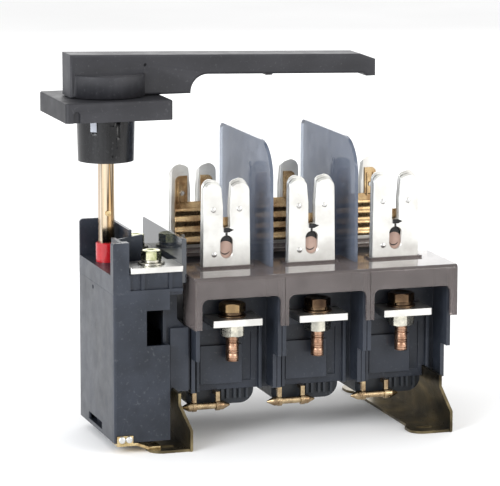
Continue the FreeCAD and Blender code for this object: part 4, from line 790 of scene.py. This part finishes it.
@dataclass
class FuseClips:
    """Slotted silver clips of stepped sheets, with gold spring plates, brown cups, black plates of painted
    shade and rivets.

    Heights are measured down from the top of the clip's taller sheets.
    """

    sheet_t: float = 1.4
    sheet_gap: float = 0.2
    plate_gap: float = 1.2
    steps_down: tuple[float, ...] = (2.6, 1.9, 0.7, 0.0)
    slot_w: float = 5.4
    slot_foot: float = 36.0
    hole_w: float = 9.5
    hole_down: Pair = (58.5, 41.5)
    slit_w: float = 1.4
    shoulder_r: float = 6.5
    taper: float = 0.9
    flare: float = 1.4
    flare_down: float = 20.0
    sheets_down: float = 79.0
    prong_tip: Pair = (2.4, 1.3)
    prong_lip: float = 3.2
    tail_x: Pair = (-13.0, -7.0)
    cup_t: float = 1.0
    cup_half: float = 6.0
    cup_down: float = 10.5
    # Size of the black plate of painted shade behind each hole.
    shade_half: float = 6.5
    shade_t: float = 0.7
    spring_t: float = 1.2
    spring_half: float = 15.2
    arm_x: Pair = (5.2, 15.0)
    arm_down: Pair = (30.0, 9.0)
    band_down: Pair = (35.5, 29.0)
    waves_down: float = 62.0
    waves_h: int = 28
    wave_pitch: float = 8.0
    wave_depth: float = 0.75
    folds: tuple[Pair, ...] = ((1.4, 1.2), (6.2, 1.6))
    rivet_spots: tuple[Pair, ...] = ((-10.0, 22.0), (10.0, 22.0), (-9.5, 55.2))

    def outline(self, cx: float, half_foot: float, top: float, z1: float) -> list[Pair]:
        """Trace a sheet: up one side, over the arched prong, down the slot, round the oval hole, and back.

        Args:
            cx: the clip's middle.
            half_foot: half its width at the foot.
            top: the top of this sheet.
            z1: the top of the clip.

        Returns:
            The closed outline.
        """
        s = self.slot_w / 2
        shoulder = half_foot - self.taper
        r = self.shoulder_r
        h = self.hole_w / 2
        low, high = z1 - self.hole_down[0], z1 - self.hole_down[1]
        right = [(cx + half_foot, z1 - self.sheets_down), *arc((cx + shoulder - r, top - r), r, 0, 90),
                 (cx + s + self.flare + self.prong_tip[0], top - self.prong_tip[1]),
                 (cx + s + self.flare, top - self.prong_lip),
                 (cx + s, z1 - self.flare_down), (cx + s, z1 - self.slot_foot),
                 (cx + self.slit_w / 2, z1 - self.slot_foot)]
        oval = arc((cx, high - h), h, 81, 0, 8) + arc((cx, low + h), h, 0, -90, 8)
        half = right + oval
        return half + [(2 * cx - x, z) for x, z in reversed(half[:-1])]

    def build(self) -> None:
        """Build the six clips, their springs and their rivets."""
        for i in range(1, 4):
            box = Extent.of(f"front_fuse_clip_{i}")
            for end, word in ((-1, "front"), (1, "rear")):
                self.clip(i, end, word, box)
        self.rivets()

    def clip(self, i: int, end: int, word: str, box: Extent) -> None:
        """Build one clip, the brown cup and the black plate of painted shade behind its hole, and its spring
        plate.

        Args:
            i: the pole's number.
            end: -1 for the front clip, 1 for the rear one.
            word: the clip's place in its name.
            box: the front clip's extent.
        """
        cx, half = box.middle[0], (box.x1 - box.x0) / 2
        plates = Form()
        near = box.y0
        for k, step in enumerate(self.steps_down):
            plates.prism(self.outline(cx, half, box.z1 - step, box.z1), Axis.Y, near, near + self.sheet_t)
            near += self.sheet_t + (self.plate_gap if k == 1 else self.sheet_gap)
        inner = near - self.sheet_gap
        foot = box.z1 - self.sheets_down
        plates.block((cx - half + 1, box.y0 + 0.4, foot - 2), (cx + half - 1, inner - 0.2, foot + 7))
        left, right = (cx + x for x in self.tail_x)
        plates.block((left, box.y0 + 0.8, box.z0), (right, box.y0 + 6.5, foot + 1))
        spring = self.spring(cx, inner, box.z1)
        behind = box.y0 + 2 * self.sheet_t + self.sheet_gap
        cup, shade = self.cup(cx, behind, box.z1), self.shade(cx, behind, box.z1)
        if end > 0:
            for form in (plates, spring, cup, shade):
                form.flip_y()
        piece = plates.finish(f"{word}_clip_{i}", Finish.SILVER, Edge(0.3, 2))
        place(piece, "silver_plated", nodes=[f"{word}_fuse_clip_{i}"])
        place(spring.finish(f"{word}_lyre_{i}", Finish.SPRING, Edge(0.2)), "passivated_spring",
              nodes=["clip_springs"])
        place(cup.finish(f"{word}_cup_{i}", Finish.TERMINAL_BROWN, Edge(0.15)), "black_moulding")
        # The black plate and crescent are painted shade behind and below the hole.
        place(shade.finish(f"{word}_shade_{i}", Finish.BLACK, None), "black_moulding")

    def cup(self, cx: float, y: float, z1: float) -> Form:
        """Make the brown shield seen through the lower part of the oval hole, with an arched top."""
        z0, crown = z1 - self.hole_down[0] - 1.0, z1 - self.hole_down[1] - self.cup_down
        half = self.cup_half
        outline = [(cx + half, z0), *arc((cx, crown), half, 0, 180, 12), (cx - half, z0)]
        return Form().prism(outline, Axis.Y, y + 0.1, y + 0.1 + self.cup_t)

    def shade(self, cx: float, y: float, z1: float) -> Form:
        """Make the painted shade: a black plate behind the shield and a black crescent in front of its foot.
        """
        low, high = z1 - self.hole_down[0] - 1.0, z1 - self.hole_down[1] + 1.0
        near, half = y + 0.1 + self.cup_t, self.shade_half
        form = Form().block((cx - half, near, low), (cx + half, near + self.shade_t, high))
        left = cx - 0.4
        crescent = arc((left, low + 7.0), 3.6, 200, 330, 10) + arc((left, low + 8.4), 4.2, 325, 205, 10)
        return form.prism(crescent, Axis.Y, y - 0.2, y + 0.3)

    def spring(self, cx: float, y: float, z1: float) -> Form:
        """Make the bent spring plate on the inner side of a clip: two lyre arms, a band and a wavy foot."""
        t, wide = self.spring_t, self.spring_half
        form = Form()
        bend_r = 4.0
        bend_z = z1 - self.arm_down[1] - bend_r
        for side in (-1, 1):
            x0, x1 = (cx + side * x for x in self.arm_x)
            foot, lean = z1 - self.arm_down[0], side * 0.4
            bend = arc((x1 - lean - side * bend_r, bend_z), bend_r, 0 if side > 0 else 180, 90, 5)
            outline = [(x0, foot), (x1, foot), (x1 - lean, bend_z), *bend, (x0, bend_z + bend_r)]
            form.prism(outline, Axis.Y, y, y + t)
            for inset, width in self.folds:
                a, b = sorted((x0 + side * inset, x0 + side * (inset + width)))
                form.block((a, y + t - 0.1, foot - 1.0), (b, y + t + 0.9, bend_z))
        middle = y + 0.2 + t / 2
        turn = 2 * math.pi / self.wave_pitch
        waves = [(middle + self.wave_depth * math.sin(turn * k), z1 - self.waves_down + k)
                 for k in range(self.waves_h + 1)]
        strip = [(a + t / 2, z) for a, z in waves] + [(a - t / 2, z) for a, z in reversed(waves)]
        form.prism(strip, Axis.X, cx - wide, cx + wide)
        form.block((cx - wide, y, z1 - self.band_down[0]), (cx + wide, y + t, z1 - self.band_down[1]))
        return form

    def rivets(self) -> None:
        """Set the domed rivet heads on the outer faces and their tails inside, and the rear ones turned."""
        dome = [(0, -0.8), (1.1, -0.68), (1.8, -0.35), (2.1, 0.0)]
        shank = [(1.3, 0.05), (1.3, 9.2)]
        tail = [(1.9, 9.25), (1.8, 9.8), (0, 9.9)]
        head = Form().lathe(dome + shank + tail, (0, 0, 0), Axis.Y, 20)
        places = []
        turns = []
        for box in map(Extent.of, numbered("front_fuse_clip")):
            for dx, down in self.rivet_spots:
                for end in (-1, 1):
                    places.append((box.middle[0] + dx, end * -box.y0, box.z1 - down))
                    turns.append(0.0 if end < 0 else math.pi)
        template = head.finish("rivet_template", Finish.ZINC, None)
        piece = scatter("clip_rivet_heads", template, places, Finish.ZINC, turns)
        place(piece, "zinc_steel", nodes=["clip_rivets"])


# ---- fasteners ----------------------------------------------------------------------------------

@dataclass(frozen=True)
class Kit:
    """One size of bolt with its nut and washers; a washer is given by its diameter and thickness."""

    word: str
    d: float
    length: float
    pitch: float
    across_flats: float
    head_h: float
    nut_h: float
    split: Pair
    plain: Pair
    head_finish: Finish
    washer_finish: Finish

    @property
    def seat(self) -> float:
        """Height of the head's underside above the terminal's face."""
        return self.plain[1] + self.split[1]


POLE_KIT = Kit("pole", 10.0, 38.0, 1.5, 17.0, 6.4, 9.3, (17.6, 2.4), (21.0, 1.6), Finish.BOLT, Finish.BRONZE)
NEUTRAL_KIT = Kit("neutral", 8.0, 22.0, 1.25, 13.0, 6.5, 6.5, (14.4, 2.0), (19.5, 1.6), Finish.NEUTRAL_ZINC,
                  Finish.NUT)


@dataclass
class Fasteners:
    """Terminal bolts with their threads, washers and nuts, set on the places of the terminal mounts."""

    thread_depth: float = 0.5
    end_chamfer: float = 0.8

    def build(self) -> None:
        """Build both sizes of fastener."""
        lug, link = Extent.of("front_lug_1"), Extent.of("neutral_link")
        for kit, is_neutral in ((POLE_KIT, False), (NEUTRAL_KIT, True)):
            tops = [tuple(c / MM for c in m["pos_m"]) for m in frame["record"]["mounts"]
                    if "terminal" in m["name"] and ("neutral" in m["name"]) == is_neutral]
            below = link.z1 - link.z0 if is_neutral else lug.z1 - lug.z0
            self.kit(kit, tops, min(below, lug.z1 - lug.z0))

    def kit(self, kit: Kit, tops: Sequence[Point], clamped: float) -> None:
        """Build the fasteners of one size.

        Args:
            kit: their sizes.
            tops: where each bolt meets the terminal's upper face.
            clamped: the terminal's thickness.
        """
        heads = [(x, y, z + kit.seat) for x, y, z in tops]
        piece = scatter(f"{kit.word}_bolt_heads", self.hexagon(kit, True), heads, kit.head_finish, loose=0.5,
                        seed=4)
        place(piece, "bronze_bolt", nodes=["terminal_bolts"])
        feet = [(x, y, z + kit.seat - kit.length + self.end_chamfer) for x, y, z in tops]
        self.threads(kit, feet)
        nuts = [(x, y, z - clamped - kit.nut_h) for x, y, z in tops]
        piece = scatter(f"{kit.word}_nuts", self.hexagon(kit, False), nuts, Finish.NUT, loose=0.5, seed=2)
        place(piece, "passivated_steel", nodes=["hex_nuts"])
        self.washers(kit, tops)

    def hexagon(self, kit: Kit, is_head: bool) -> bpy.types.Object:
        """Make a hexagon with its corners chamfered by a cone, at the top only for a head.

        Args:
            kit: its sizes.
            is_head: True for a bolt head, with a dished top; False for a nut.

        Returns:
            The template, standing on the origin.
        """
        height = kit.head_h if is_head else kit.nut_h
        flat = kit.across_flats / 2
        form = Form()
        steps = 48
        levels: list[list[Point]] = [[], [], [], []]
        for k in range(steps):
            turn = 2 * math.pi * k / steps
            radius = flat / math.cos((turn + math.pi / 6) % (math.pi / 3) - math.pi / 6)
            cut = (radius - flat * 0.98) * math.tan(math.radians(32.0))
            rim = min(radius, flat * 0.98)
            c, s = math.cos(turn), math.sin(turn)
            low = 0.0 if is_head else cut
            levels[0].append((rim * c, rim * s, 0.0))
            levels[1].append((radius * c, radius * s, low))
            levels[2].append((radius * c, radius * s, height - cut))
            levels[3].append((rim * c, rim * s, height))
        if is_head:
            dish = 0.72
            levels.append([(dish * x, dish * y, height) for x, y, _ in levels[3]])
            levels.append([(0.9 * dish * x, 0.9 * dish * y, height - 0.5) for x, y, _ in levels[3]])
        rings = [[form.bm.verts.new(p) for p in level] for level in levels]
        for a, b in zip(rings, rings[1:]):
            for k in range(steps):
                j = (k + 1) % steps
                form.bm.faces.new((a[k], a[j], b[j], b[k]))
        form.bm.faces.new(list(reversed(rings[0])))
        form.bm.faces.new(rings[-1])
        bmesh.ops.remove_doubles(form.bm, verts=form.bm.verts, dist=1e-4)
        bmesh.ops.recalc_face_normals(form.bm, faces=form.bm.faces)
        return form.finish("hexagon_template", kit.head_finish, None)

    def threads(self, kit: Kit, feet: Sequence[Point]) -> None:
        """Set the threaded shanks of one size on their lower ends."""
        values = {"Core Radius": (kit.d / 2 - self.thread_depth) * MM, "Ridge": self.thread_depth * MM,
                  "Pitch": kit.pitch * MM, "Length": (kit.length - self.end_chamfer) * MM}
        piece = thread_tree().run(f"{kit.word}_threads", points_mesh(feet), Finish.THREAD, values)
        place(piece, "bronze_bolt", nodes=["terminal_bolts"])

    def washers(self, kit: Kit, tops: Sequence[Point]) -> None:
        """Set a plain washer and a split spring washer under every head of one size."""
        hole = kit.d / 2 + 0.25
        r, t = kit.plain[0] / 2, kit.plain[1]
        plain = Form().lathe([(hole, 0.0), (r - 0.3, 0.0), (r, 0.3), (r, t - 0.3), (r - 0.3, t), (hole, t),
                              (hole, 0.0)], (0, 0, 0), Axis.Z)
        bmesh.ops.remove_doubles(plain.bm, verts=plain.bm.verts, dist=1e-4)
        template = plain.finish("washer_template", kit.washer_finish, None)
        piece = scatter(f"{kit.word}_plain_washers", template, tops, kit.washer_finish)
        place(piece, "zinc_steel", nodes=["flat_washers"])
        tops = [(x, y, z + t) for x, y, z in tops]
        piece = scatter(f"{kit.word}_split_washers", self.split_washer(kit), tops, kit.washer_finish,
                        loose=3.0, seed=6)
        place(piece, "zinc_steel", nodes=["spring_washers"])

    def split_washer(self, kit: Kit) -> bpy.types.Object:
        """Make one turn of a square wire with a small gap, one end a little higher than the other."""
        form = Form()
        rise = 0.3
        inner, outer, t = kit.d / 2 + 0.15, kit.split[0] / 2, kit.split[1] - rise
        steps = 40
        rings = []
        for k in range(steps + 1):
            turn = math.radians(4.0 + 352.0 * k / steps)
            lift = rise * k / steps
            c, s = math.cos(turn), math.sin(turn)
            rings.append([form.bm.verts.new((r * c, r * s, z + lift)) for r, z in
                          ((inner, 0.0), (outer, 0.0), (outer, t), (inner, t))])
        for a, b in zip(rings, rings[1:]):
            for k in range(4):
                form.bm.faces.new((a[k], a[(k + 1) % 4], b[(k + 1) % 4], b[k]))
        form.bm.faces.new(rings[0])
        form.bm.faces.new(rings[-1])
        bmesh.ops.recalc_face_normals(form.bm, faces=form.bm.faces)
        return form.finish("split_template", kit.washer_finish, Edge(0.2))


# ---- studio -------------------------------------------------------------------------------------

@dataclass
class Studio:
    """Pale floor, soft lights and the camera."""

    aim_offset: Point = (8.25, -4.0, -5.7)
    distance: float = 2249.7
    azimuth_deg: float = -17.82
    elevation_deg: float = 10.05
    roll_deg: float = 0.09
    lens_mm: float = 216.0
    floor_half: float = 12000.0

    def build(self, low: Vector, high: Vector) -> None:
        """Build the studio round the object's box."""
        self.camera((low + high) / 2)
        self.floor()
        self.world()
        self.lamp("key", (-1.9, -1.3, 0.9), 1.3, 46.0, (0.93, 0.96, 1.0))
        self.lamp("fill", (1.5, -2.0, 0.9), 1.3, 22.0, (1.0, 0.98, 0.95))
        self.lamp("back", (0.5, 2.1, 1.3), 1.8, 18.0, (1.0, 1.0, 1.0))
        bpy.context.scene.view_settings.view_transform = "Standard"

    def camera(self, centre: Vector) -> None:
        """Set the camera from its direction, its distance and what it looks at."""
        a, e = math.radians(self.azimuth_deg), math.radians(self.elevation_deg)
        back = Vector((math.sin(a) * math.cos(e), -math.cos(a) * math.cos(e), math.sin(e)))
        aim = centre + Vector(self.aim_offset) * MM
        data = bpy.data.cameras.new("camera")
        data.lens = self.lens_mm
        data.sensor_width = 36.0
        data.clip_end = 100.0
        camera = bpy.data.objects.new("camera", data)
        camera.location = aim + back * self.distance * MM
        turn = back.to_track_quat("Z", "Y").to_matrix() @ Matrix.Rotation(math.radians(self.roll_deg), 3, "Z")
        camera.rotation_euler = turn.to_euler()
        bpy.context.scene.collection.objects.link(camera)
        bpy.context.scene.camera = camera

    def floor(self) -> None:
        """Lay the pale floor just under the feet."""
        h = self.floor_half
        form = Form().block((-h, -h, -20.0), (h, h, -0.05))
        floor = form.finish("floor", Finish.SLATE, None)
        g = Graph("pale_floor")
        pale = g.ramp(g.noise(400.0), [(0.3, (0.90, 0.90, 0.90)), (0.7, (0.94, 0.94, 0.94))])
        g.feed(g.shader, "Base Color", pale)
        g.shader.inputs["Roughness"].default_value = 0.85
        floor.data.materials[0] = g.material
        floor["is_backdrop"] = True

    def world(self) -> None:
        """Light the surroundings a soft grey."""
        world = bpy.data.worlds.new("studio")
        world.use_nodes = True
        back = world.node_tree.nodes["Background"]
        back.inputs["Color"].default_value = (1.0, 1.0, 1.0, 1.0)
        back.inputs["Strength"].default_value = 1.0
        bpy.context.scene.world = world

    def lamp(self, name: str, spot_m: Point, size_m: float, watts: float, colour: Colour) -> None:
        """Hang a square soft light that looks at the object."""
        data = bpy.data.lights.new(name, "AREA")
        data.shape = "SQUARE"
        data.size = size_m
        data.energy = watts
        data.color = colour
        lamp = bpy.data.objects.new(name, data)
        lamp.location = spot_m
        lamp.rotation_euler = (Vector(spot_m) - Vector((0.0, 0.0, 0.14))).to_track_quat("Z", "Y").to_euler()
        bpy.context.scene.collection.objects.link(lamp)


# ---- main ---------------------------------------------------------------------------------------

def main() -> None:
    """Build every piece, then the studio."""
    logging.basicConfig(level=logging.INFO, format="%(message)s")
    cad_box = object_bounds()
    Studio().build(Vector(cad_box[0]), Vector(cad_box[1]))
    for carried in CARRIED:
        carried.build()
    FuseClips().build()
    Fasteners().build()


if __name__ == "__main__":
    main()
